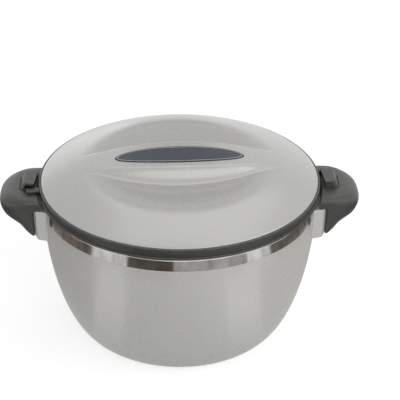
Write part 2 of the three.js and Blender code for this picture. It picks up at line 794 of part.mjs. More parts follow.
addPart('lid_seal', lidSeal(), materials.rubber);
addPart('lid_fill_plug', lidFillPlug(), materials.liner);
addPart('badge_plate', badgePlate(), materials.badge).rotation.z = bridgeTurn;
addPart('badge_trim', badgeTrim(), materials.trim).rotation.z = bridgeTurn;

export default assembly;
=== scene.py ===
# %% [markdown]
# # A thermal serving bowl with a twist-lock lid
# The real bowl keeps a meal warm at the table. A silver plastic shell stands outside, a steel bowl hangs
# inside it by a rim turned down over the shell, and foam fills the space between. The lid is a domed cover in
# a dark ring, with foam and a pale liner under it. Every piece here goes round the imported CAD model, which is
# loaded first and never moves.

# %% Load the CAD frame
import math

import bmesh
import bpy
from mathutils import Matrix, Vector


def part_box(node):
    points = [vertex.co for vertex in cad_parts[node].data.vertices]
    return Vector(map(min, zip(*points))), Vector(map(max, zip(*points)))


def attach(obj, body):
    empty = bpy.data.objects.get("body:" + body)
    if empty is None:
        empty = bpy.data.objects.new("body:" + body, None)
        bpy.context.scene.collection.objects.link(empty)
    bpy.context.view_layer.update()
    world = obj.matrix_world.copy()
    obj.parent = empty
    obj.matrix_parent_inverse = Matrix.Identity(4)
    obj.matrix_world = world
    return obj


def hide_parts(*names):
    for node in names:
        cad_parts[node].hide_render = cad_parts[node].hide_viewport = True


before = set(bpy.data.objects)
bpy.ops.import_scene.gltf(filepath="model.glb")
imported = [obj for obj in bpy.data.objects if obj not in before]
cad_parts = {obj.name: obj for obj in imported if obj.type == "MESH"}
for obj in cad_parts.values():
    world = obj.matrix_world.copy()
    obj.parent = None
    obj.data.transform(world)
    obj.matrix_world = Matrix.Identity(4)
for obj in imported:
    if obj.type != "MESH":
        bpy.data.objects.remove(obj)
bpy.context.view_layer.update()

scene = bpy.context.scene
mm = 0.001

# %% [markdown]
# ## Camera
# The photograph looks down on the lid from about 29 degrees, with a long lens, so that the near and the far
# edge of the lid differ little. The bowl stands turned by about one degree, which puts one handle a little
# higher than the other. The camera aims at the middle of the lid's edge, and a small lens shift puts that
# point where the photograph has it. A shift keeps the ellipse of the lid symmetric, which turning the camera
# would not.

# %% The camera
picture_side = 400  # pixels
lid_middle = Vector((0, 0, 137.3 * mm))
lid_middle_pixel = Vector((179.5, 175.2))
camera_distance = 1.1136
camera_elevation = math.radians(28.9)
camera_azimuth = math.radians(-0.93)
focal_pixels = 1325

camera_back = Vector((0, -math.cos(camera_elevation), math.sin(camera_elevation)))
camera_back.rotate(Matrix.Rotation(camera_azimuth, 3, "Z"))
camera_data = bpy.data.cameras.new("camera")
camera_data.lens = focal_pixels / picture_side * camera_data.sensor_width
camera_data.shift_x = 0.5 - lid_middle_pixel.x / picture_side
camera_data.shift_y = lid_middle_pixel.y / picture_side - 0.5
camera = bpy.data.objects.new("camera", camera_data)
camera.location = lid_middle + camera_back * camera_distance
camera.rotation_euler = camera_back.to_track_quat("Z", "Y").to_euler()
scene.collection.objects.link(camera)
scene.camera = camera
print("lens in mm:", round(camera_data.lens, 1))

# %% [markdown]
# ## Helpers for nodes and objects
# Light, cards and finishes are all made of shader nodes. Each of these short functions adds one kind of node,
# and feeds its inputs with links or with plain values, so that the cells below read like the finish that they
# describe. The last one makes an object of a mesh.

# %% Helpers for nodes and objects
mix_sockets = {"FLOAT": (0, 2, 3, 0), "RGBA": (0, 6, 7, 2)}  # share, first and second input, output


def grey(level):
    return (level, level, level, 1)


def node_tree_of(owner):
    owner.use_nodes = True
    owner.node_tree.nodes.clear()
    return owner.node_tree


def feed(tree, socket, value):
    """Links an output to an input, or gives the input a plain value."""
    if isinstance(value, bpy.types.NodeSocket):
        tree.links.new(value, socket)
    else:
        socket.default_value = value


def add_node(tree, kind, **settings):
    """Adds a node. A setting names a property of the node, or else one of its inputs."""
    node = tree.nodes.new("ShaderNode" + kind)
    for key, value in settings.items():
        if hasattr(node, key):
            setattr(node, key, value)
        else:
            feed(tree, node.inputs[key.replace("_", " ")], value)
    return node


def math_node(tree, operation, first, second=None, clamp=False):
    node = add_node(tree, "Math", operation=operation, use_clamp=clamp)
    for socket, value in zip(node.inputs, (first, second)):
        if value is not None:
            feed(tree, socket, value)
    return node.outputs[0]


def vector_math(tree, operation, first, second=None):
    node = add_node(tree, "VectorMath", operation=operation)
    feed(tree, node.inputs[0], first)
    if second is not None:
        feed(tree, node.inputs["Scale"] if operation == "SCALE" else node.inputs[1], second)
    return node.outputs["Value" if operation == "LENGTH" else "Vector"]


def mix(tree, share, first, second, kind="RGBA"):
    *inputs, output = mix_sockets[kind]
    node = add_node(tree, "Mix", data_type=kind)
    for index, value in zip(inputs, (share, first, second)):
        feed(tree, node.inputs[index], value)
    return node.outputs[output]


def map_range(tree, value, low, high, new_low=0, new_high=1):
    limits = {"From_Min": low, "From_Max": high, "To_Min": new_low, "To_Max": new_high}
    return add_node(tree, "MapRange", Value=value, **limits).outputs["Result"]


def show(tree, shader, kind="Material"):
    """Sends a shader to the surface of a material or a world."""
    add_node(tree, "Output" + kind, Surface=shader.outputs[0])


def new_object(name, bm, material=None):
    mesh = bpy.data.meshes.new(name)
    bm.to_mesh(mesh)
    bm.free()
    if material:
        mesh.materials.append(material)
    made = bpy.data.objects.new(name, mesh)
    scene.collection.objects.link(made)
    return made


print("helpers ready")

# %% [markdown]
# ## Studio
# The photograph is a cut-out on white, lit by large soft lamps. Here the floor and the world are white to the
# camera and to reflections, while the light that reaches the object stays at a plain level. The floor keeps a
# soft shadow. The polished rim of the photograph mirrors a room: dark patches with bright gaps between them.
# Low cards that only reflections can see lie round the bowl for that, and four stand far behind it for the
# sheen at the back of the lid. They are never seen themselves and shade nothing.

# %% World and floor
scene.view_settings.view_transform = "Standard"
ambient_level = 0.46
floor_white = 0.7
floor_grey = 0.5
floor_half_side = 8
floor_drop = 0.05 * mm  # a hair below the feet


def seen_directly(tree):
    """1 for the rays of the camera, of mirrors and of glass, and 0 for the rays that light the object."""
    rays = add_node(tree, "LightPath").outputs
    direct = math_node(tree, "MAXIMUM", rays["Is Camera Ray"], rays["Is Glossy Ray"])
    return math_node(tree, "MAXIMUM", direct, rays["Is Transmission Ray"])


scene.world = bpy.data.worlds.new("studio")
tree = node_tree_of(scene.world)
world_level = map_range(tree, seen_directly(tree), 0, 1, ambient_level, 1)
show(tree, add_node(tree, "Background", Color=grey(1), Strength=world_level), "World")

floor_material = bpy.data.materials.new("studio_floor")
tree = node_tree_of(floor_material)
floor_matt = add_node(tree, "BsdfDiffuse", Color=grey(floor_grey))
floor_glow = add_node(tree, "Emission", Color=grey(floor_white), Strength=seen_directly(tree))
floor_sum = add_node(tree, "AddShader")
for socket, shader in zip(floor_sum.inputs, (floor_matt, floor_glow)):
    feed(tree, socket, shader.outputs[0])
show(tree, floor_sum)

bm = bmesh.new()
bmesh.ops.create_grid(bm, x_segments=1, y_segments=1, size=floor_half_side)
floor = new_object("floor", bm, floor_material)
floor.location.z = -floor_drop
print("floor side in m:", round(floor.dimensions.x, 1))

# %% Soft lamps
bowl_middle = Vector((0, 0, 80 * mm))
lamp_distance = 2.0
soft_lamps = {  # name: (direction from the bowl, side in metres, watts)
    "front": (Vector((0.2, -1, 0.45)), 1.95, 12.2),
    "right": (Vector((1, -0.35, 0.85)), 1.4, 9),
    "left": (Vector((-1, -0.45, 0.06)), 1.2, 3.3),
    "top": (Vector((0.08, 0.5, 1)), 1.6, 5),
}
for name, (direction, side, watts) in soft_lamps.items():
    lamp = bpy.data.lights.new(name, "AREA")
    lamp.shape, lamp.size, lamp.energy = "SQUARE", side, watts
    holder = bpy.data.objects.new(name, lamp)
    holder.location = bowl_middle + direction.normalized() * lamp_distance
    holder.rotation_euler = direction.to_track_quat("Z", "Y").to_euler()
    scene.collection.objects.link(holder)
print("lamps:", list(soft_lamps))

# %% Cards that only reflections see
card_height = 1 * mm
card_steps = 12
card_inner = 0.06
card_split = 0.262  # the shell mirrors what lies inside this radius, and the steel rim what lies outside it
card_outer, rear_card_outer = 0.62, 0.45
brown_dark, brown, warm_grey = (0.09, 0.077, 0.064), (0.13, 0.11, 0.09), (0.42, 0.4, 0.39)
steel_cards = {  # name: (from, to) in degrees round the bowl from the front, outer radius, colour
    "steel_dark_left": (-128, -63, card_outer, brown),
    "steel_light_left": (-63, -36, card_outer, (0.72, 0.71, 0.7)),
    "steel_dark_front": (-36, -4.6, card_outer, brown_dark),
    "steel_grey_front": (-4.6, 45, card_outer, warm_grey),
    "steel_light_right": (45, 64, card_outer, (0.75, 0.74, 0.72)),
    "steel_dark_right": (64, 118, card_outer, brown),
    "steel_light_rear": (118, 170, rear_card_outer, (0.6, 0.59, 0.57)),
    "steel_dark_rear": (170, 232, rear_card_outer, brown),
}
shell_cards = {  # name: (from, to) in degrees, colour
    "shell_left": (-128, -58, (0.4, 0.395, 0.38)),
    "shell_light_left": (-58, -35, (0.96, 0.95, 0.94)),
    "shell_front": (-35, 12, (0.5, 0.495, 0.48)),
    "shell_front_right": (12, 28, (0.6, 0.595, 0.58)),
    "shell_light_right": (28, 53, (1, 0.99, 0.98)),
    "shell_right": (53, 125, (0.5, 0.49, 0.475)),
    "shell_rear": (125, 232, (0.55, 0.54, 0.52)),
}
rear_card_back = 1.5
rear_cards = {  # name: (from, to) in degrees above the lid, (from, to) in degrees to its right, grey
    "rear_low": (17, 24, -6, 6, 0.1),
    "rear_high": (35, 52, -11, 11, 0.42),
    "rear_left": (-4, 20, -38, -6, 1.6),
    "rear_right": (-4, 20, 6, 38, 1.2),
}
foot_glow_radii = (90 * mm, 170 * mm)  # where the light patches under the bowl begin and end
foot_glow = (0.62, 0.62, 0.6, 1)
room_detail = 30 * mm  # size of the small things that the steel mirrors
room_swirl = 1.5
room_contrast = 0.45


def hang_card(name, bm, colour, contrast=0.0):
    """A glowing card for mirrors only. Contrast is how strongly its light changes from place to place."""
    material = bpy.data.materials.new(name)
    tree = node_tree_of(material)
    place = add_node(tree, "TexCoord").outputs["Object"]
    fade = map_range(tree, vector_math(tree, "LENGTH", place), *foot_glow_radii)
    tint = mix(tree, fade, foot_glow, (*colour, 1))
    patches = add_node(tree, "TexNoise", Vector=place, Scale=1 / room_detail, Distortion=room_swirl)
    strength = map_range(tree, patches.outputs["Fac"], 0.35, 0.65, 1 - contrast, 1 + contrast)
    show(tree, add_node(tree, "Emission", Color=tint, Strength=strength))
    card = new_object(name, bm, material)
    card.visible_camera = card.visible_diffuse = card.visible_shadow = card.visible_transmission = False


def lay_floor_card(name, start, end, inner, outer, colour, contrast):
    bm = bmesh.new()
    from_front = Matrix.Rotation(math.radians(start), 3, "Z")
    near, far = (bm.verts.new(from_front @ Vector((0, -reach, card_height))) for reach in (inner, outer))
    edge = bm.edges.new((near, far))
    bmesh.ops.spin(bm, geom=[near, far, edge], cent=(0, 0, 0), axis=(0, 0, 1), dvec=(0, 0, 0),
                   angle=math.radians(end - start), steps=card_steps)
    hang_card(name, bm, colour, contrast)


for name, (start, end, outer, colour) in steel_cards.items():
    lay_floor_card(name, start, end, card_split, outer, colour, room_contrast)
for name, (start, end, colour) in shell_cards.items():
    lay_floor_card(name, start, end, card_inner, card_split, colour, 0)
for name, (*angles, level) in rear_cards.items():
    low, high, left, right = (rear_card_back * math.tan(math.radians(angle)) for angle in angles)
    bm = bmesh.new()
    bmesh.ops.create_grid(bm, x_segments=1, y_segments=1, size=1)
    bmesh.ops.scale(bm, verts=bm.verts, vec=((right - left) / 2, (high - low) / 2, 1))
    bmesh.ops.rotate(bm, verts=bm.verts, cent=(0, 0, 0), matrix=Matrix.Rotation(math.pi / 2, 3, "X"))
    middle = ((left + right) / 2, rear_card_back, lid_middle.z + (low + high) / 2)
    bmesh.ops.translate(bm, verts=bm.verts, vec=middle)
    hang_card(name, bm, (level, level, level))
print("cards:", len(steel_cards) + len(shell_cards) + len(rear_cards))

# %% [markdown]
# ## How a finish is made
# Each real surface has a colour that wanders a little, a fine texture from the mould or the lathe, and wear
# where hands and the table touch it. Each of these effects is a node group, built once with named inputs, and
# every material places the groups that it needs with values of its own. The gloss itself, which is the same
# all over a surface, stays on the shader.

# %% Group: grain and ripples left by the mould


def new_group(name, inputs, outputs):
    """A node group, its inputs' sources and its outputs' targets. An input without a value is a vector."""
    group = bpy.data.node_groups.new(name, "ShaderNodeTree")
    for label, value in inputs.items():
        kind = "Vector" if value is None else "Color" if isinstance(value, tuple) else "Float"
        socket = group.interface.new_socket(label, in_out="INPUT", socket_type="NodeSocket" + kind)
        if value is not None:
            socket.default_value = value
    for label in outputs:
        kind = "Color" if label == "Colour" else "Float"
        group.interface.new_socket(label, in_out="OUTPUT", socket_type="NodeSocket" + kind)
    return group, group.nodes.new("NodeGroupInput").outputs, group.nodes.new("NodeGroupOutput").inputs


def noise_at(tree, vector, size, detail=2.0, roughness=0.5):
    """Noise whose blobs are about size metres across, from 0 to 1."""
    scale = math_node(tree, "DIVIDE", 1.0, size)
    noise = add_node(tree, "TexNoise", Vector=vector, Scale=scale, Detail=detail, Roughness=roughness)
    return noise.outputs["Fac"]


group, given, made = new_group(
    "mould_grain", {"Vector": None, "Grain Size": 0.4 * mm, "Ripple Size": 6 * mm, "Ripple Share": 0.3},
    ["Height"])
grain = noise_at(group, given["Vector"], given["Grain Size"], 3)
ripple = noise_at(group, given["Vector"], given["Ripple Size"], 1)
feed(group, made["Height"], mix(group, given["Ripple Share"], grain, ripple, "FLOAT"))
print("group:", group.name)

# %% Group: colour that wanders and holds metal flakes
drift_size = 60 * mm
group, given, made = new_group(
    "silver_flake",
    {"Vector": None, "Colour": grey(0.5), "Flake Size": 0.5 * mm, "Flake Amount": 0.1, "Drift Amount": 0.05},
    ["Colour"])
flake = noise_at(group, given["Vector"], given["Flake Size"], 1)
drift = noise_at(group, given["Vector"], drift_size, 2)
flake_shift = math_node(group, "MULTIPLY", math_node(group, "SUBTRACT", flake, 0.5), given["Flake Amount"])
drift_shift = math_node(group, "MULTIPLY", math_node(group, "SUBTRACT", drift, 0.5), given["Drift Amount"])
level = math_node(group, "ADD", math_node(group, "ADD", flake_shift, drift_shift), 1.0)
feed(group, made["Colour"], vector_math(group, "SCALE", given["Colour"], level))
print("group:", group.name)

# %% Group: wear along edges, on the handles also a painted highlight
wear_patch_size = 5 * mm
group, given, made = new_group(
    "edge_wear", {"Vector": None, "Colour": grey(0.5), "Worn Colour": grey(0.6), "Amount": 0.4}, ["Colour"])
edge = add_node(group, "Attribute", attribute_name="edge").outputs["Fac"]
patchy = map_range(group, noise_at(group, given["Vector"], wear_patch_size, 4, 0.7), 0.38, 0.62)
rubbed = math_node(group, "MULTIPLY", edge, patchy, clamp=True)
worn = math_node(group, "MULTIPLY", rubbed, given["Amount"], clamp=True)
feed(group, made["Colour"], mix(group, worn, given["Colour"], given["Worn Colour"]))
print("group:", group.name)

# %% Group: smudges and dust
smudge_size = 24 * mm
speck_size = 1.1 * mm
dust_colour = (0.62, 0.6, 0.56, 1)
dust_roughness = 0.4
group, given, made = new_group(
    "handled", {"Vector": None, "Colour": grey(0.5), "Smooth": 0.3, "Dull": 0.45, "Dust Amount": 0.05},
    ["Colour", "Roughness", "Dust"])
smudge = noise_at(group, given["Vector"], smudge_size, 3, 0.6)
gloss = map_range(group, smudge, 0.3, 0.7, given["Smooth"], given["Dull"])
normal = add_node(group, "NewGeometry").outputs["Normal"]
upward = add_node(group, "SeparateXYZ", Vector=normal).outputs["Z"]
specks = map_range(group, noise_at(group, given["Vector"], speck_size, 3, 0.7), 0.62, 0.78)
settled = math_node(group, "MULTIPLY", upward, specks, clamp=True)
dust = math_node(group, "MULTIPLY", settled, given["Dust Amount"], clamp=True)
feed(group, made["Colour"], mix(group, dust, given["Colour"], dust_colour))
dusty = math_node(group, "MULTIPLY", dust, dust_roughness)
feed(group, made["Roughness"], math_node(group, "ADD", gloss, dusty))
feed(group, made["Dust"], dust)
print("group:", group.name)

# %% Group: fine lines left by turning and polishing
group, given, made = new_group("turning_lines", {"Vector": None, "Spacing": 0.5 * mm, "Run": 0.6}, ["Height"])
x, y, z = add_node(group, "SeparateXYZ", Vector=given["Vector"]).outputs
squares = math_node(group, "ADD", math_node(group, "MULTIPLY", x, x), math_node(group, "MULTIPLY", y, y))
polar = add_node(
    group, "CombineXYZ",
    X=math_node(group, "DIVIDE", math_node(group, "SQRT", squares), given["Spacing"]),
    Y=math_node(group, "DIVIDE", z, given["Spacing"]),
    Z=math_node(group, "DIVIDE", math_node(group, "ARCTAN2", y, x), given["Run"]))
lines = add_node(group, "TexNoise", Vector=polar.outputs[0], Scale=1, Detail=3, Roughness=0.65)
feed(group, made["Height"], lines.outputs["Fac"])
print("group:", group.name)

# %% [markdown]
# ## Materials
# Silver lacquer, polished steel, two dark plastics, a pale food-safe plastic, rubber, foam, plated steel and
# the printed badge. Each starts as a Principled shader with its plain values, and the groups above give it
# its drift of colour, grain, wear and dust at the size that these have on the real thing.

# %% A material with the shared effects


def start_material(name, **plain):
    material = bpy.data.materials.new(name)
    tree = node_tree_of(material)
    shader = add_node(tree, "BsdfPrincipled", **plain)
    show(tree, shader)
    return material, tree, shader, add_node(tree, "TexCoord").outputs["Object"]


def use_group(tree, name, place, **values):
    return add_node(tree, "Group", node_tree=bpy.data.node_groups[name], Vector=place, **values).outputs


def bump(tree, shader, height, depth, strength):
    node = add_node(tree, "Bump", Height=height, Distance=depth, Strength=strength)
    feed(tree, shader.inputs["Normal"], node.outputs["Normal"])


def surface(name, colour, gloss, tone, wear, dust, grain, dents, coat=None, **plain):
    """A painted or moulded surface. Gloss is its least and most roughness, tone its flake size, flake amount
    and drift, wear a colour and an amount, grain a grain size, ripple size and ripple share, and dents a depth
    and a strength."""
    material, tree, shader, place = start_material(name, **plain)
    paint = use_group(tree, "silver_flake", place, Colour=colour, Flake_Size=tone[0], Flake_Amount=tone[1],
                      Drift_Amount=tone[2])
    worn = use_group(tree, "edge_wear", place, Colour=paint["Colour"], Worn_Colour=wear[0], Amount=wear[1])
    touched = use_group(tree, "handled", place, Colour=worn["Colour"], Smooth=gloss[0], Dull=gloss[1],
                        Dust_Amount=dust)
    skin = use_group(tree, "mould_grain", place, Grain_Size=grain[0], Ripple_Size=grain[1],
                     Ripple_Share=grain[2])
    feed(tree, shader.inputs["Base Color"], touched["Colour"])
    feed(tree, shader.inputs["Roughness"], touched["Roughness"])
    if coat:
        coat_left = math_node(tree, "SUBTRACT", coat, touched["Dust"], clamp=True)
        feed(tree, shader.inputs["Coat Weight"], coat_left)
    bump(tree, shader, skin["Height"], *dents)
    return material


print("ready to make materials")

# %% Silver lacquer for the shell and the cover
lacquer = {
    "gloss": (0.24, 0.3), "tone": (0.9 * mm, 0.03, 0.04), "wear": (grey(0.68), 0.25), "dust": 0.03,
    "grain": (2 * mm, 14 * mm, 0.97), "dents": (0.04 * mm, 0.3), "coat": 0.2,
    "Specular_IOR_Level": 0.4, "Coat_Roughness": 0.3, "Coat_IOR": 1.4,
}
shell_silver = surface("shell_silver", (0.62, 0.615, 0.59, 1), Metallic=0.2, **lacquer)
cover_silver = surface("cover_silver", (0.485, 0.48, 0.46, 1), Metallic=0.25, **lacquer)
print("made", shell_silver.name, cover_silver.name)

# %% Polished steel


def steel(name, colour, smooth, dull, spacing, depth):
    material, tree, shader, place = start_material(name, Metallic=1)
    lines = use_group(tree, "turning_lines", place, Spacing=spacing, Run=0.7)["Height"]
    tone = use_group(tree, "silver_flake", place, Colour=colour, Flake_Size=2 * mm, Flake_Amount=0.04,
                     Drift_Amount=0.08)
    touched = use_group(tree, "handled", place, Colour=tone["Colour"], Smooth=smooth, Dull=dull,
                        Dust_Amount=0.04)
    line_gloss = math_node(tree, "MULTIPLY", lines, dull - smooth)
    feed(tree, shader.inputs["Base Color"], touched["Colour"])
    feed(tree, shader.inputs["Roughness"], math_node(tree, "ADD", touched["Roughness"], line_gloss))
    bump(tree, shader, lines, depth, 0.4)
    return material


bowl_steel = steel("bowl_steel", (0.66, 0.655, 0.64, 1), 0.05, 0.11, 0.35 * mm, 0.01 * mm)
screw_steel = steel("screw_steel", (0.52, 0.52, 0.5, 1), 0.25, 0.4, 0.25 * mm, 0.03 * mm)
print("made", bowl_steel.name, screw_steel.name)

# %% Moulded plastics and rubber


def moulded(name, colour, worn_level, *gloss, wear=0.4, dust=0.12, grain=0.35 * mm, depth=0.05 * mm):
    return surface(name, (*colour, 1), gloss, (1.6 * mm, 0.08, 0.14), (grey(worn_level), wear), dust,
                   (grain, 9 * mm, 0.35), (depth, 0.6))


# The handles' pale edges are partly wear and partly a painted highlight: they paint the bright streak of light
# along the lock block's edges.
handle_plastic = moulded("handle_plastic", (0.05, 0.051, 0.047), 0.2, 0.33, 0.42, wear=0.6)
ring_plastic = moulded("ring_plastic", (0.039, 0.041, 0.036), 0.13, 0.3, 0.4, wear=0.6)
pale_plastic = moulded("pale_plastic", (0.66, 0.66, 0.63), 0.72, 0.32, 0.42, wear=0.2, grain=0.6 * mm)
dark_rubber = moulded("dark_rubber", (0.028, 0.028, 0.027), 0.08, 0.6, 0.75, dust=0.3, grain=0.3 * mm,
                      depth=0.1 * mm)
foam_skin = moulded("foam_skin", (0.72, 0.66, 0.47), 0.6, 0.85, 0.95, wear=0.1, dust=0, grain=0.9 * mm,
                    depth=0.5 * mm)
print("made", handle_plastic.name, ring_plastic.name, pale_plastic.name, dark_rubber.name, foam_skin.name)

# %% Badge enamel and its trim
badge_look = {
    "gloss": (0.3, 0.4), "tone": (0.25 * mm, 0.2, 0.1), "dust": 0.06, "grain": (0.3 * mm, 5 * mm, 0.6),
    "dents": (0.02 * mm, 0.5), "Specular_IOR_Level": 0.32,
}
badge_slate = surface("badge_slate", (0.038, 0.046, 0.065, 1), wear=((0.012, 0.013, 0.018, 1), 0.8),
                      **badge_look)
trim_silver = surface("trim_silver", (0.42, 0.43, 0.45, 1), wear=(grey(0.5), 0.8), Metallic=0.4, **badge_look)
print("made", badge_slate.name, trim_silver.name)

# %% [markdown]
# ## How a piece is made
# Nearly everything on this bowl was turned or moulded round one axis, so most pieces start as a wire outline
# of half of their section. A vertex bevel rounds its corners, and a spin carries it round. A piece then gets
# its wear mask: the bend of its surface at each point, which is strong on tight edges and nothing on open
# faces. It rides on its CAD body and stands for the CAD node that it dresses.

# %% Outlines, spins and finished pieces
round_steps = 160
corner_segments = 4
merge_distance = 0.002 * mm
wear_start = 160.0  # bend in 1/m at which an edge starts to wear
wear_full = 800.0


def bevel(bm, geom, offset, segments, affect="EDGES"):
    return bmesh.ops.bevel(bm, geom=geom, offset=offset, offset_type="OFFSET", affect=affect,
                           segments=segments, profile=0.5, material=-1, clamp_overlap=True)


def turn(bm, angle, verts=None):
    bmesh.ops.rotate(bm, verts=verts or bm.verts, cent=(0, 0, 0), matrix=Matrix.Rotation(angle, 3, "Z"))


def outline_of(rows):
    """Outline points from rows of (radius, mm added to it, height, mm added to it, corner in mm)."""
    return [(radius + out * mm, height + up * mm, corner * mm) for radius, out, height, up, corner in rows]


def draw_outline(bm, points, closed=False):
    """A wire in the XZ plane through (radius, height, corner) points, each corner rounded by its radius."""
    verts = [bm.verts.new((radius, 0, height)) for radius, height, _ in points]
    pairs = list(zip(verts, verts[1:])) + ([(verts[-1], verts[0])] if closed else [])
    for pair in pairs:
        bm.edges.new(pair)
    for corner in sorted({point[2] for point in points} - {0}):
        chosen = [vert for vert, point in zip(verts, points) if point[2] == corner]
        bevel(bm, chosen, corner, corner_segments, "VERTICES")


def close_up(bm):
    bmesh.ops.remove_doubles(bm, verts=bm.verts, dist=merge_distance)
    bmesh.ops.recalc_face_normals(bm, faces=bm.faces)


def turned(points, closed=False, steps=round_steps):
    """What an outline sweeps in one turn about the bowl's axis."""
    bm = bmesh.new()
    draw_outline(bm, points, closed)
    bmesh.ops.spin(bm, geom=bm.verts[:] + bm.edges[:], cent=(0, 0, 0), axis=(0, 0, 1), dvec=(0, 0, 0),
                   angle=2 * math.pi, steps=steps, use_merge=True)
    close_up(bm)
    return bm


def mark_wear(bm):
    layer = bm.verts.layers.float.get("edge") or bm.verts.layers.float.new("edge")
    for vert in bm.verts:
        area = sum(face.calc_area() / len(face.verts) for face in vert.link_faces)
        bend = sum(edge.calc_face_angle_signed(0) * edge.calc_length() for edge in vert.link_edges
                   if edge.is_manifold)
        bend /= 4 * max(area, 1e-12)
        vert[layer] = min(max((bend - wear_start) / (wear_full - wear_start), 0), 1)


def finish_piece(name, bm, body, material, nodes, sharp=40):
    mark_wear(bm)
    piece = new_object(name, bm, material)
    mesh = piece.data
    mesh.polygons.foreach_set("use_smooth", [True] * len(mesh.polygons))
    mesh.set_sharp_from_angle(angle=math.radians(sharp))
    piece.modifiers.new("even_shading", "WEIGHTED_NORMAL").keep_sharp = True
    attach(piece, body)
    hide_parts(*nodes)
    print(f"{name}: {len(mesh.polygons)} faces, {[round(side / mm, 1) for side in piece.dimensions]} mm")


print("helpers ready")

# %% [markdown]
# ## Sizes from the frame
# The CAD nodes' boxes give the main radii and heights, so that every piece fits the solid that it stands for.
# Only the small steps of a section, such as a bead or a groove, are named beside the piece that has them.

# %% Main sizes
shell_low, shell_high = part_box("outer_shell")
steel_low, steel_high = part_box("inner_bowl")
ring_low, ring_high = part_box("lid_ring")
liner_low, liner_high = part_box("lid_liner")
seal_low, seal_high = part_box("lid_seal")
base_low, base_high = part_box("base_cover")
handle_low, handle_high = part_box("handle_right")

shell_top_radius = shell_high.y
shell_foot = shell_low.z
neck_top = shell_high.z
bracket_reach = shell_high.x + 1.8 * mm
rim_radius = steel_high.x
rim_top = steel_high.z
bead_radius = ring_high.y
lug_reach = ring_high.x
ring_top = ring_high.z
shoulder = rim_top - 11.3 * mm
print("rim radius", round(rim_radius / mm, 1), "bead radius", round(bead_radius / mm, 1),
      "shoulder", round(shoulder / mm, 1))

# %% [markdown]
# ## Outer shell
# The shell is one plastic moulding: a round tub that leaves the table in a wide curve and stands almost
# upright at the shoulder, with a bracket on each side that carries a handle. Its curve is a superellipse,
# which has that slow start and long straight end in one formula. The tub is spun. A bracket is a cube,
# scaled, leaned and bevelled, and sunk into the wall, as the mould would leave it.

# %% The shell's section
shell_base_radius = 82.3 * mm
shell_wall = 2.5 * mm
shell_floor = 3.4 * mm
side_curve = (1.85, 0.61)
side_levels = 56
level_spread = 2.2  # draws the levels together at the foot, where the side bends most


def side_radius(share, inset=0.0, base_radius=shell_base_radius):
    """Radius of the side at a share of its height, moved in by an inset."""
    top = shell_top_radius - inset
    return base_radius + (top - base_radius) * (1 - (1 - share) ** side_curve[0]) ** side_curve[1]


def side_line(inset, bottom, levels=side_levels, base_radius=shell_base_radius):
    shares = [(level / levels) ** level_spread for level in range(levels + 1)]
    return [(side_radius(share, inset, base_radius), bottom + (shoulder - bottom) * share, 0)
            for share in shares]


neck_radius = rim_radius - 0.9 * mm
floor_top = shell_foot + shell_floor
base_rebate_radius = base_high.x + 0.3 * mm
base_rebate_top = shell_foot + shell_floor / 2
base_hole_radius = base_high.x - 6 * mm
inner_side = side_line(shell_wall, floor_top, 24, side_radius(0.03) - 2 * shell_wall)
shell_outline = (
    [(base_hole_radius, base_rebate_top, 0), (base_rebate_radius, base_rebate_top, 0),
     (base_rebate_radius, shell_foot, 0.3 * mm)]
    + side_line(0, shell_foot)[:-1]
    + [(shell_top_radius, shoulder, 0.25 * mm), (neck_radius, shoulder, 0), (neck_radius, neck_top, 0.3 * mm),
       (neck_radius - shell_wall, neck_top, 0.3 * mm), (neck_radius - shell_wall, shoulder, 0)]
    + inner_side[-2::-1]
    + [(base_hole_radius, floor_top, 0)]
)
print("shell section points:", len(shell_outline))

# %% The shell and its brackets
bracket_top = shoulder + 4.6 * mm
bracket_foot = bracket_top - 26.8 * mm
bracket_half_width = 29.6 * mm
bracket_root_half_width = 33 * mm
bracket_root_reach = shell_top_radius - 6.1 * mm
bracket_lean = 1.4 * mm
bracket_chamfer = 2.4 * mm
bracket_rounding = 0.55 * mm
bracket_sunk = 12 * mm  # how far the block reaches into the wall


def add_bracket(bm, side):
    """A bracket on one side, as a bevelled block from inside the wall out to the handle."""
    inner = bracket_root_reach - bracket_sunk
    flare = (bracket_root_half_width - bracket_half_width) / (bracket_reach - bracket_root_reach)
    cube = bmesh.ops.create_cube(bm, size=2)["verts"]
    for vert in cube:
        outside, wide, high = (value > 0 for value in vert.co)
        reach = bracket_reach - (0 if high else bracket_lean) if outside else inner
        half = bracket_half_width + flare * (bracket_reach - reach)
        vert.co = (reach, half if wide else -half, bracket_top if high else bracket_foot)
    foot_edge = [edge for edge in {e for v in cube for e in v.link_edges}
                 if all(v.co.x > inner and v.co.z < bracket_top for v in edge.verts)]
    bevelled = bevel(bm, foot_edge, bracket_chamfer, 1)
    verts = {v for v in cube if v.is_valid} | set(bevelled["verts"])
    outer_edges = [edge for edge in {e for v in verts for e in v.link_edges}
                   if any(v.co.x > inner + mm for v in edge.verts)]
    rounded = bevel(bm, outer_edges, bracket_rounding, 3)
    verts = {v for v in verts if v.is_valid} | set(rounded["verts"])
    if side < 0:
        turn(bm, math.pi, list(verts))


bm = turned(shell_outline, closed=True, steps=192)
for side in (1, -1):
    add_bracket(bm, side)
finish_piece("shell", bm, "bowl", shell_silver, ["outer_shell"])

# %% [markdown]
# ## Steel bowl
# The food sits in a bowl pressed from thin steel. Its wall bends outward over the shell's neck and is turned
# down outside it as a bright band, with a small rolled bead at the top edge and a folded hem at its foot.
# Above each bracket the band is cut away. The section is spun, and a box for each bracket is taken out of the
# band with a Boolean, which is how a press tool would notch it.

# %% The steel section
steel_wall = 0.6 * mm
bowl_inset = 12.4 * mm  # plastic wall and foam beside the food
bowl_floor = steel_low.z
throat_radius = shell_top_radius - bowl_inset
throat_height = rim_top - 6.5 * mm
bead_height = 1.3 * mm
band_step = 0.22 * mm  # how far the band lies inside the bead
band_foot = shoulder + 0.3 * mm
band_radius = rim_radius - band_step

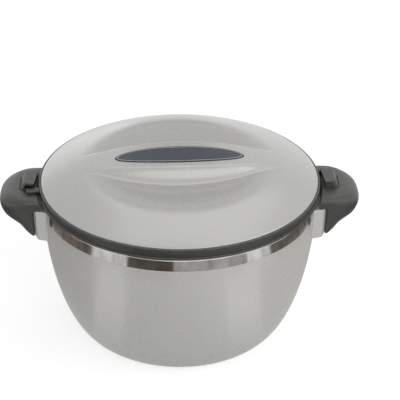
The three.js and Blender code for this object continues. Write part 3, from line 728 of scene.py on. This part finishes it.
bowl_base_radius = side_radius((bowl_floor - shell_foot) / (shoulder - shell_foot)) - 2 * bowl_inset
outer_side = side_line(bowl_inset, bowl_floor, 36, bowl_base_radius)
inner_side = [(radius - steel_wall, height + steel_wall * (1 - height / shoulder), 0)
              for radius, height, _ in outer_side]
steel_outline = (
    [(0, bowl_floor, 0)] + outer_side
    + [(throat_radius, throat_height, 2 * mm), (throat_radius + 4.2 * mm, rim_top - steel_wall, 2 * mm),
       (rim_radius - steel_wall, rim_top - steel_wall, 0.3 * mm), (rim_radius - steel_wall, band_foot, 0),
       (band_radius, band_foot, 0.12 * mm), (band_radius, rim_top - bead_height - 0.25 * mm, 0.1 * mm),
       (rim_radius - 2.2 * band_step, rim_top - bead_height, 0.1 * mm),
       (rim_radius, rim_top - bead_height + 0.25 * mm, 0.2 * mm), (rim_radius, rim_top, 0.45 * mm),
       (throat_radius + 3.9 * mm, rim_top, 2.4 * mm), (throat_radius - steel_wall, throat_height, 2.4 * mm)]
    + inner_side[::-1] + [(0, bowl_floor + steel_wall, 0)]
)
print("steel section points:", len(steel_outline))

# %% Helpers for cutting one mesh with another


def baked(target):
    """The mesh of an object with its modifiers applied, as a new bmesh. The object itself is removed."""
    bpy.context.view_layer.update()
    result = bmesh.new()
    result.from_object(target, bpy.context.evaluated_depsgraph_get())
    bpy.data.objects.remove(target)
    return result


def cut(bm, *tools):
    """Takes each tool's solid away from a mesh in turn."""
    target = new_object("work", bm)
    helpers = [new_object(f"tool_{index}", tool) for index, tool in enumerate(tools)]
    for helper in helpers:
        step = target.modifiers.new(helper.name, "BOOLEAN")
        step.operation, step.solver, step.object = "DIFFERENCE", "EXACT", helper
    result = baked(target)
    for helper in helpers:
        bpy.data.objects.remove(helper)
    return result


def block(low, high, corner=0.0):
    """A box between two corners, its edges rounded."""
    bm = bmesh.new()
    low, high = Vector(low), Vector(high)
    bmesh.ops.create_cube(bm, size=1, matrix=Matrix.LocRotScale((low + high) / 2, None, high - low))
    if corner:
        bevel(bm, bm.edges[:], corner, 3)
    return bm


def join(bm, other):
    """Adds another mesh, still as a solid of its own."""
    held = bpy.data.meshes.new("held")
    other.to_mesh(held)
    other.free()
    bm.from_mesh(held)
    bpy.data.meshes.remove(held)
    return bm


def parts_in(geometry, kind=bmesh.types.BMVert):
    return [part for part in geometry if isinstance(part, kind)]


print("cutting helpers ready")

# %% The steel bowl
notch_half_width = bracket_root_half_width + 2.5 * mm
notch_top = bracket_top + 0.5 * mm
notch_foot = shoulder - 5 * mm
notch_reaches = ((throat_radius + rim_radius) / 2, rim_radius + 5 * mm)
notches = []
for side in (1, -1):
    near, far = sorted(side * reach for reach in notch_reaches)
    notches.append(block((near, -notch_half_width, notch_foot), (far, notch_half_width, notch_top)))
bm = cut(turned(steel_outline, steps=256), *notches)
bmesh.ops.recalc_face_normals(bm, faces=bm.faces)
finish_piece("steel_bowl", bm, "bowl", bowl_steel, ["inner_bowl"])

# %% [markdown]
# ## Lid ring
# A dark moulded ring holds the cover's edge and locks the lid. From the top it has a bead round the cover, a
# fine groove, a plain skirt and a lower rib, which hangs just above the steel. A short lug stands out at each
# handle: it turns in under the block there. The ring is spun from one closed section, and the lugs are small
# rounded blocks.

# %% The ring
skirt_radius = bead_radius - 0.4 * mm
ring_bore_radius = skirt_radius - 4.5 * mm
cover_radius = bead_radius - 1.9 * mm
cover_seat = ring_top - 2.1 * mm
flange_under = cover_seat - 2.5 * mm
flange_inner = liner_high.x - 3 * mm
ring_foot = ring_low.z
ring_outline = outline_of([
    (ring_bore_radius, 0, ring_foot, 0, 0.3), (skirt_radius, -2.6, ring_foot, 0, 0.3),
    (skirt_radius, -2.6, ring_foot, 0.3, 0.2), (skirt_radius, 0.4, ring_foot, 0.4, 0.3),
    (skirt_radius, 0.4, ring_foot, 1.8, 0.5), (skirt_radius, -0.6, ring_foot, 2.2, 0.1),
    (skirt_radius, -0.2, ring_foot, 3, 0.2), (skirt_radius, -0.2, ring_top, -2.9, 0.2),
    (skirt_radius, -0.7, ring_top, -2.5, 0.15), (bead_radius, 0, ring_top, -1.9, 0.35),
    (bead_radius, 0, ring_top, 0, 0.8), (cover_radius, 0.3, ring_top, 0, 0.3),
    (cover_radius, 0.3, cover_seat, 0, 0), (flange_inner, 0, cover_seat, 0, 0.3),
    (flange_inner, 0, flange_under, 0, 0.3), (ring_bore_radius, 0, flange_under, 0, 0),
])
lug_low = rim_top + 3.5 * mm
lug_high = lug_low + 3.2 * mm
lug_length = 6.5 * mm
lug_inner, lug_outer = skirt_radius - 2 * mm, lug_reach + 0.5 * mm
lug_start = math.asin(11.9 * mm / skirt_radius)
lug_middle = lug_start + lug_length / 2 / (skirt_radius + 11.1 * mm)

bm = turned(ring_outline, closed=True, steps=240)
for angle in (lug_middle, lug_middle + math.pi):
    lug = block((lug_inner, -lug_length / 2, lug_low), (lug_outer, lug_length / 2, lug_high), 1.1 * mm)
    turn(lug, angle)
    join(bm, lug)
finish_piece("ring", bm, "lid", ring_plastic, ["lid_ring"])

# %% [markdown]
# ## Lid cover
# The cover is one silver dome. Two finger scoops are sunk into it, and the bridge left between them is the
# grip. It could be cut out with Booleans, but every edge on the real cover is softly rounded, and those
# roundings are the whole look. So the dome is spun as a fine disc, and each point is lifted to a height that
# blends the dome, the scoops' dish and the bridge's walls with soft minimums and maximums. The disc's points
# are first drawn together along the two walls, which are the steepest places.

# %% The cover's height at a point
cover_edge = ring_top + 0.7 * mm
cover_rise = 20.9 * mm
cover_curve = 2.6
scoop_radius = 0.647 * cover_radius
scoop_forward = 1.9 * mm  # how far the scoops' middle lies toward the front
scoop_tilt = 0.006
scoop_depth = 5.5 * mm
scoop_curve = 2.3
lip_blend = 5 * mm
bridge_half_width = 23.3 * mm
bridge_end_half_width = 11.2 * mm
bridge_half_length = 82 * mm
wall_steepness = 1.5
wall_top_blend = 3.4 * mm
wall_foot_blend = 5.2 * mm
bridge_turn = math.pi * 0.0113


def soft_max(a, b, blend):
    overlap = max(blend - abs(a - b), 0) / blend
    return max(a, b) + overlap * overlap * blend / 4


def soft_min(a, b, blend):
    return -soft_max(-a, -b, blend)


def dome_height(radius):
    return cover_edge + cover_rise * (1 - (radius / cover_radius) ** cover_curve)


def bridge_edge(along):
    """Half of the bridge's width at a distance along it from the middle."""
    widening = bridge_half_width - bridge_end_half_width
    return bridge_end_half_width + widening * (1 - (along / bridge_half_length) ** 2)


def cover_height(along, across):
    dome = dome_height(math.hypot(along, across))
    dish_share = math.hypot(along, across + scoop_forward) / scoop_radius
    dish = dome_height(scoop_radius) - scoop_depth * (1 - dish_share ** scoop_curve) + scoop_tilt * across
    hollow = soft_min(dome, dish, lip_blend)
    wall = dome - (abs(across) - bridge_edge(along)) * wall_steepness
    return min(soft_max(hollow, soft_min(dome, wall, wall_top_blend), wall_foot_blend), dome)


print("crown", round(cover_height(0, 0) / mm, 2), "scoop floor", round(cover_height(0, -45 * mm) / mm, 2))

# %% The cover
draw_width = 9 * mm
draw_strength = 0.65
draw_past_wall = 2 * mm
draw_reach, draw_fade = 105 * mm, 20 * mm
cover_wall = 2.5 * mm
cover_foot_radius = cover_radius - 7.4 * mm
upper_tag, under_tag = 10.0, -10.0  # heights that mark the points of both skins until they are laid
radii = [step * 2 * mm for step in range(11)] + [22 * mm + step * 0.9 * mm for step in range(70)]
radii += [radii[-1] + step * (cover_radius - 0.8 * mm - radii[-1]) / 16 for step in range(1, 17)]
under_radii = [(cover_foot_radius - 0.3 * mm) * step / 24 for step in range(24, -1, -1)]
cover_outline = (
    [(radius, upper_tag, 0) for radius in radii]
    + outline_of([
        (cover_radius, -0.25, cover_edge, 0.02, 0), (cover_radius, 0, cover_edge, -0.45, 0),
        (cover_radius, 0, cover_seat, 0.3, 0), (cover_radius, -0.3, cover_seat, 0, 0),
        (cover_foot_radius, 0, cover_seat, 0, 0)])
    + [(radius, under_tag, 0) for radius in under_radii]
)


def drawn_to_wall(along, across):
    """Moves a point across the bridge, so that the disc's rows lie closer together along the walls."""
    off = abs(across) - (bridge_edge(along) + draw_past_wall)
    fade = min(max((draw_reach - math.hypot(along, across)) / draw_fade, 0), 1)
    pull = off * draw_strength * fade * math.exp(-(off / draw_width) ** 2)
    return math.copysign(abs(across) - pull, across)


bm = turned(cover_outline, steps=480)
for vert in bm.verts:
    along, across, tag = vert.co
    if abs(tag) > 1:
        across = drawn_to_wall(along, across)
        vert.co = (along, across, cover_height(along, across) - (0 if tag > 0 else cover_wall))
turn(bm, bridge_turn)
bmesh.ops.recalc_face_normals(bm, faces=bm.faces)
finish_piece("cover", bm, "lid", cover_silver, ["lid_cover"])

# %% [markdown]
# ## Badge
# A slate-blue oval plate is let into the bridge, with a fine silver line just inside its edge. It is left
# bare. The plate is a spun disc with a rounded rim, stretched to the oval and laid on the dome. The line is
# the strip between two ovals, raised a little. Outside the line the plate is coloured nearly black.

# %% The badge plate and its line
badge_low, badge_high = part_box("badge_plate")
print("CAD plate in mm:", [round(side / mm, 1) for side in badge_high - badge_low])
badge_half_length = 53.9 * mm
badge_half_width = 14 * mm
badge_thickness = 1.2 * mm
badge_proud = 0.4 * mm
badge_foot = badge_proud - badge_thickness
plate_rings = 14
badge_corner = 0.35 * mm
badge_forward = 1.7 * mm
line_inset = 1.6 * mm
line_width = 0.75 * mm
line_rise = 0.3 * mm
rim_black = (0.008, 0.009, 0.012, 1)


def add_dark_rim(material, half_length, half_width):
    """Blackens what lies outside an oval with the badge's turn and place."""
    tree = material.node_tree
    base_colour = next(node for node in tree.nodes if node.type == "BSDF_PRINCIPLED").inputs["Base Color"]
    place = add_node(tree, "TexCoord").outputs["Object"]
    straight = add_node(tree, "VectorRotate", rotation_type="Z_AXIS", Vector=place, Angle=-bridge_turn)
    centred = vector_math(tree, "ADD", straight.outputs[0], (0, badge_forward, 0))
    shares = vector_math(tree, "MULTIPLY", centred, (1 / half_length, 1 / half_width, 0))
    outside = map_range(tree, vector_math(tree, "LENGTH", shares), 0.99, 1.01)
    feed(tree, base_colour, mix(tree, outside, base_colour.links[0].from_socket, rim_black))


def lay_badge(bm, offset):
    bmesh.ops.translate(bm, verts=bm.verts, vec=(0, -badge_forward, offset))
    for vert in bm.verts:
        vert.co.z += dome_height(math.hypot(vert.co.x, vert.co.y))
    turn(bm, bridge_turn)


add_dark_rim(badge_slate, badge_half_length - line_inset, badge_half_width - line_inset)
plate_outline = [(badge_half_width * ring / plate_rings, badge_proud, 0) for ring in range(plate_rings)]
plate_outline += [(badge_half_width, badge_proud, badge_corner), (badge_half_width, badge_foot, 0)]
plate_outline += [(badge_half_width * ring / 3, badge_foot, 0) for ring in (2, 1, 0)]
bm = turned(plate_outline, steps=128)
bmesh.ops.scale(bm, verts=bm.verts, vec=(badge_half_length / badge_half_width, 1, 1))
lay_badge(bm, 0)
finish_piece("badge_plate_bare", bm, "lid", badge_slate, ["badge_plate"])


bm = bmesh.new()
outer = bmesh.ops.create_circle(bm, segments=160, radius=1)["verts"]
inner = parts_in(bmesh.ops.extrude_edge_only(bm, edges=bm.edges)["geom"])
for loop, inset in ((outer, line_inset), (inner, line_inset + line_width)):
    bmesh.ops.scale(bm, verts=loop, vec=(badge_half_length - inset, badge_half_width - inset, 1))
raised = bmesh.ops.extrude_face_region(bm, geom=bm.faces)["geom"]
bmesh.ops.translate(bm, verts=parts_in(raised), vec=(0, 0, line_rise))
close_up(bm)
lay_badge(bm, badge_proud - line_rise / 2)
finish_piece("badge_line", bm, "lid", trim_silver, ["badge_trim"])

# %% [markdown]
# ## Handles
# A handle is a rounded lobe, wide at the top and tucked in at the bottom so that fingers fit under it. On top
# stands the lock block: the lid's lug turns into the pocket under it. The lobe is lofted by extruding one
# loop upward and fitting each new loop to a superellipse. The ring's path and the bracket are cut out of it,
# and a voxel remesh and a little smoothing give every edge the soft radius that a mould has. The block is a
# tapered cube with the pocket cut out. It stands in a fine crease, like an insert in its seat.

# %% The lobe
handle_reach = handle_high.x
handle_top = rim_top + 2.9 * mm
handle_foot = handle_low.z
handle_half_width = handle_high.y
lobe_root = bracket_reach - 1.3 * mm
lobe_inner = bracket_root_reach - shell_top_radius + rim_radius
height_shares = (0, 0.1, 0.28, 0.41, 0.5, 0.72, 0.86, 0.95, 1)
reach_shares = (0.17, 0.35, 0.545, 0.765, 0.905, 1, 0.95, 0.79, 0.6)
width_shares = (0.955, 0.955, 0.965, 0.98, 0.99, 1, 1, 0.985, 0.95)
lobe_roundness = 2.8  # exponent of the loop's outer half
lobe_squareness = 24  # and of its inner half
lobe_segments = 72
lobe_levels = 34
lobe_crown = [(0.42, 0.8, handle_top + 0.5 * mm), (0.2, 0.5, handle_top + 0.8 * mm)]


def smooth_through(places, values, place):
    """A smooth curve through the values, read at a place."""
    last = len(places) - 1
    k = min(max(sum(1 for known in places if known <= place) - 1, 0), last - 1)
    before, after = max(k - 1, 0), min(k + 2, last)
    span = places[k + 1] - places[k]
    slope_a = (values[k + 1] - values[before]) / (places[k + 1] - places[before]) * span
    slope_b = (values[after] - values[k]) / (places[after] - places[k]) * span
    t = (place - places[k]) / span
    return ((2 * t**3 - 3 * t**2 + 1) * values[k] + (t**3 - 2 * t**2 + t) * slope_a
            + (3 * t**2 - 2 * t**3) * values[k + 1] + (t**3 - t**2) * slope_b)


def fit_loop(verts, reach_share, width_share, height):
    """Puts a loop on the lobe's outline at one height. The part toward the bowl is square."""
    for index, vert in enumerate(verts):
        angle = 2 * math.pi * index / len(verts)
        cosine, sine = math.cos(angle), math.sin(angle)
        outward = cosine > 0
        power = 2 / (lobe_roundness if outward else lobe_squareness)
        depth = (handle_reach - lobe_root) * reach_share if outward else lobe_root - lobe_inner
        vert.co = (lobe_root + depth * math.copysign(abs(cosine) ** power, cosine),
                   handle_half_width * width_share * math.copysign(abs(sine) ** power, sine), height)


def make_lobe():
    bm = bmesh.new()
    loop = bmesh.ops.create_circle(bm, cap_ends=True, segments=lobe_segments, radius=1)["verts"]
    levels = [(smooth_through(height_shares, reach_shares, level / lobe_levels),
               smooth_through(height_shares, width_shares, level / lobe_levels),
               handle_foot + (handle_top - handle_foot) * level / lobe_levels)
              for level in range(lobe_levels + 1)]
    levels += lobe_crown
    fit_loop(loop, *levels[0])
    edges = bm.edges[:]
    for level in levels[1:]:
        grown = bmesh.ops.extrude_edge_only(bm, edges=edges)["geom"]
        edges = parts_in(grown, bmesh.types.BMEdge)
        below = {other: place for place, other in enumerate(loop)}
        loop = sorted(parts_in(grown), key=lambda vert: next(
            below[edge.other_vert(vert)] for edge in vert.link_edges if edge.other_vert(vert) in below))
        fit_loop(loop, *level)
    bmesh.ops.contextual_create(bm, geom=edges)
    close_up(bm)
    return bm


test_lobe = make_lobe()
print("lobe faces:", len(test_lobe.faces), "closed:", all(edge.is_manifold for edge in test_lobe.edges))
test_lobe.free()

# %% The lock block and the cutters
block_half_width = 11.6 * mm
block_top = handle_high.z
block_foot = handle_top - 3 * mm
block_roof = 2.8 * mm
block_inner_back = bead_radius + 1.8 * mm
block_inner_front = bead_radius + 3.5 * mm
block_outer_top = bead_radius + 12.3 * mm
block_outer_foot = bead_radius + 17.6 * mm
block_end_wall = 3.2 * mm
block_corner = 3.4 * mm
pocket_outer = lug_reach + 0.6 * mm
bracket_gap = 0.15 * mm
bracket_cut_depth = 30 * mm  # how far the cutter reaches in from the bracket's root
ring_gap = 1.1 * mm
overrun = 5 * mm


def make_block(front, grow=0.0, foot=block_foot):
    """The right handle's lock block. Front is -1 or 1, the Y side on which it is cut back from the ring."""
    bm = bmesh.new()
    for vert in bmesh.ops.create_cube(bm, size=2)["verts"]:
        outside, at_front, high = vert.co.x > 0, vert.co.y * front > 0, vert.co.z > 0
        inner = (block_inner_front if at_front else block_inner_back) - grow
        outer = (block_outer_top if high else block_outer_foot) + grow
        half = front * (block_half_width + grow)
        vert.co = (outer if outside else inner, half if at_front else -half, block_top if high else foot)
    upright = [edge for edge in bm.edges if all(v.co.x > block_inner_front + mm for v in edge.verts)
               and abs(edge.verts[0].co.z - edge.verts[1].co.z) > mm]
    bevel(bm, upright, block_corner, 6)
    bmesh.ops.recalc_face_normals(bm, faces=bm.faces)
    return bm


def ring_path():
    """What the lid ring takes out of a handle as it turns and lifts."""
    radius, low, high = bead_radius + ring_gap, handle_foot - overrun, block_top + overrun
    return turned([(0, low, 0), (radius, low, 0), (radius, high, 0), (0, high, 0)], steps=256)


def bracket_cutter():
    """What the bracket takes out of a handle: its side outline, leaned like its face, and very wide."""
    wide = 2 * handle_half_width
    bm = bmesh.new()
    for vert in bmesh.ops.create_cube(bm, size=2)["verts"]:
        outside, back, high = (value > 0 for value in vert.co)
        face = bracket_reach + bracket_gap - (0 if high else bracket_lean)
        reach = face if outside else bracket_root_reach - bracket_cut_depth
        vert.co = (reach, wide if back else -wide, bracket_top + bracket_gap if high else bracket_foot)
    return bm


print("block width in mm:", 2 * block_half_width / mm)

# %% Both handles
voxel = 0.55 * mm
handle_softening = 20
block_rounding = 0.7 * mm
crease_width = 0.1 * mm
crease_depth = 1.8 * mm


def soften(bm, size, passes):
    """Rebuilds a solid in even small squares and smooths it, so that its edges become round."""
    work = new_object("soften", bm)
    remesh = work.modifiers.new("remesh", "REMESH")
    remesh.mode, remesh.voxel_size, remesh.adaptivity = "VOXEL", size, 0
    result = baked(work)
    for _ in range(passes):
        bmesh.ops.smooth_vert(result, verts=result.verts, factor=0.5, use_axis_x=True, use_axis_y=True,
                              use_axis_z=True)
    return result


def rounded_edges(bm, width):
    work = new_object("rounding", bm)
    step = work.modifiers.new("round", "BEVEL")
    step.width, step.segments, step.limit_method, step.angle_limit = width, 3, "ANGLE", math.radians(35)
    return baked(work)


def make_handle(front):
    pocket = block((skirt_radius - overrun, block_end_wall - block_half_width, handle_top),
                   (pocket_outer, block_half_width + overrun, block_top - block_roof))
    lobe = soften(cut(make_lobe(), ring_path(), bracket_cutter()), voxel, handle_softening)
    lobe = cut(lobe, make_block(front, crease_width, handle_top - crease_depth))
    return join(lobe, rounded_edges(cut(make_block(front), pocket), block_rounding))


handle_places = (("handle_r", -1, 0, "handle_right"), ("handle_l", 1, math.pi, "handle_left"))
for name, front, angle, node in handle_places:
    bm = make_handle(front)
    turn(bm, angle)
    finish_piece(name, bm, "bowl", handle_plastic, [node], sharp=50)

# %% [markdown]
# ## Under the bowl
# A round plate closes the hole that the foam was poured through, with a small plug in its middle, and four
# rubber feet keep the bowl off the table. All are turned shapes. The feet are one small outline spun and
# moved to its place.

# %% Base cover, plug and feet
plug_low, plug_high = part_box("foam_fill_plug")
base_foot, plug_foot = base_low.z, plug_low.z
plug_head_radius = plug_high.x
plug_radius = plug_head_radius - 2.3 * mm
base_skirt_radius = base_hole_radius - 0.3 * mm
base_plate_top = base_foot + 1.5 * mm
base_outline = outline_of([
    (plug_radius, 0.3, base_plate_top, 0, 0), (plug_radius, 0.3, base_foot, 0.8, 0),
    (plug_head_radius, 0.3, base_foot, 0.8, 0), (plug_head_radius, 0.3, base_foot, 0, 0.2),
    (0, 20, base_foot, 0, 0), (0, 20.3, base_foot, 0.3, 0.1), (0, 21.2, base_foot, 0.3, 0.1),
    (0, 21.5, base_foot, 0, 0), (base_high.x, 0, base_foot, 0, 0.4), (base_high.x, 0, base_plate_top, 0, 0),
    (base_skirt_radius, 0, base_plate_top, 0, 0), (base_skirt_radius, 0, base_high.z, 0, 0.2),
    (base_skirt_radius, -1.6, base_high.z, 0, 0.2), (base_skirt_radius, -1.6, base_plate_top, 0, 0),
])
plug_outline = outline_of([
    (0, 0, plug_foot, 0.2, 0), (0, 3, plug_foot, 0.2, 0), (0, 3.4, plug_foot, 0, 0),
    (plug_head_radius, 0, plug_foot, 0, 0.25), (plug_head_radius, 0, plug_foot, 0.8, 0),
    (plug_radius, 0, plug_foot, 0.8, 0), (plug_radius, 0, plug_high.z, 0, 0.3), (0, 0, plug_high.z, 0, 0),
])
finish_piece("base_plate", turned(base_outline, closed=True), "bowl", ring_plastic, ["base_cover"])
plug = turned(plug_outline, steps=64)
finish_piece("fill_plug_base", plug, "bowl", ring_plastic, ["foam_fill_plug"])

for index in range(1, 5):
    node = f"foot_pad_{index}"
    low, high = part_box(node)
    middle = (low + high) / 2
    radius = (high.x - low.x) / 2
    bm = turned(outline_of([
        (0, 0, 0, 0.15, 0), (radius, -1.9, 0, 0.15, 0), (radius, -1.6, 0, 0, 0), (radius, 0, 0, 0, 0.4),
        (radius, 0, high.z, 0, 0), (0, 0, high.z, 0, 0)]), steps=48)
    bmesh.ops.translate(bm, verts=bm.verts, vec=(middle.x, middle.y, 0))
    finish_piece(f"foot_{index}", bm, "bowl", dark_rubber, [node])

# %% [markdown]
# ## Under the lid
# The pale liner is what faces the food. Its rounded corner drops into the steel throat, and its flange is
# held under the ring, where a rubber seal sits round it. Both are spun.

# %% Liner and seal
liner_wall = 1.2  # in mm, like the rows of an outline
liner_radius = flange_inner - 3.7 * mm
liner_foot, liner_top, liner_edge = liner_low.z, liner_high.z, liner_high.x
liner_outline = outline_of([
    (0, 0, liner_foot, 0.35, 0), (0, 26, liner_foot, 0.35, 0.5), (0, 27, liner_foot, 0, 0.5),
    (liner_radius, 0, liner_foot, 0, 3.4), (liner_radius, 0, liner_top, -liner_wall, 0.4),
    (liner_edge, 0, liner_top, -liner_wall, 0.3), (liner_edge, 0, liner_top, 0, 0.3),
    (liner_radius, -liner_wall, liner_top, 0, 0.4), (liner_radius, -liner_wall, liner_foot, liner_wall, 2.4),
    (0, 0, liner_foot, liner_wall, 0),
])
finish_piece("liner", turned(liner_outline), "lid", pale_plastic, ["lid_liner"])

seal_inner = liner_edge + 0.5 * mm
seal_lip = 1.4  # in mm too
seal_foot, seal_edge = seal_low.z, seal_high.x
seal_outline = outline_of([
    (seal_inner, 0, seal_foot, seal_lip, 0.2), (seal_inner, seal_lip, seal_foot, 0, 0.3),
    (seal_edge, 0, seal_foot, 0, 0.4), (seal_edge, 0, seal_foot, 1.6, 0.2),
    (seal_edge, -0.4, seal_foot, 1.9, 0.1), (seal_edge, 0, seal_foot, 2.2, 0.2),
    (seal_edge, 0, seal_high.z, 0, 0.3), (seal_inner, 0, seal_high.z, 0, 0.3),
])
finish_piece("seal", turned(seal_outline, closed=True), "seal", dark_rubber, ["lid_seal"])

# %% [markdown]
# ## Pieces that stay as CAD
# The foam, the plug under the badge and the four handle screws are inside. Their CAD shapes are right as they
# are, so they keep them and only get their finish.

# %% Finishes for the CAD pieces
inside_finishes = {
    "body_foam": foam_skin, "lid_foam": foam_skin, "lid_fill_plug": pale_plastic,
    "handle_screw_right_front": screw_steel, "handle_screw_right_rear": screw_steel,
    "handle_screw_left_rear": screw_steel, "handle_screw_left_front": screw_steel,
}
for node, material in inside_finishes.items():
    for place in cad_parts[node].material_slots:
        place.material = material
print("finished CAD pieces:", len(inside_finishes))
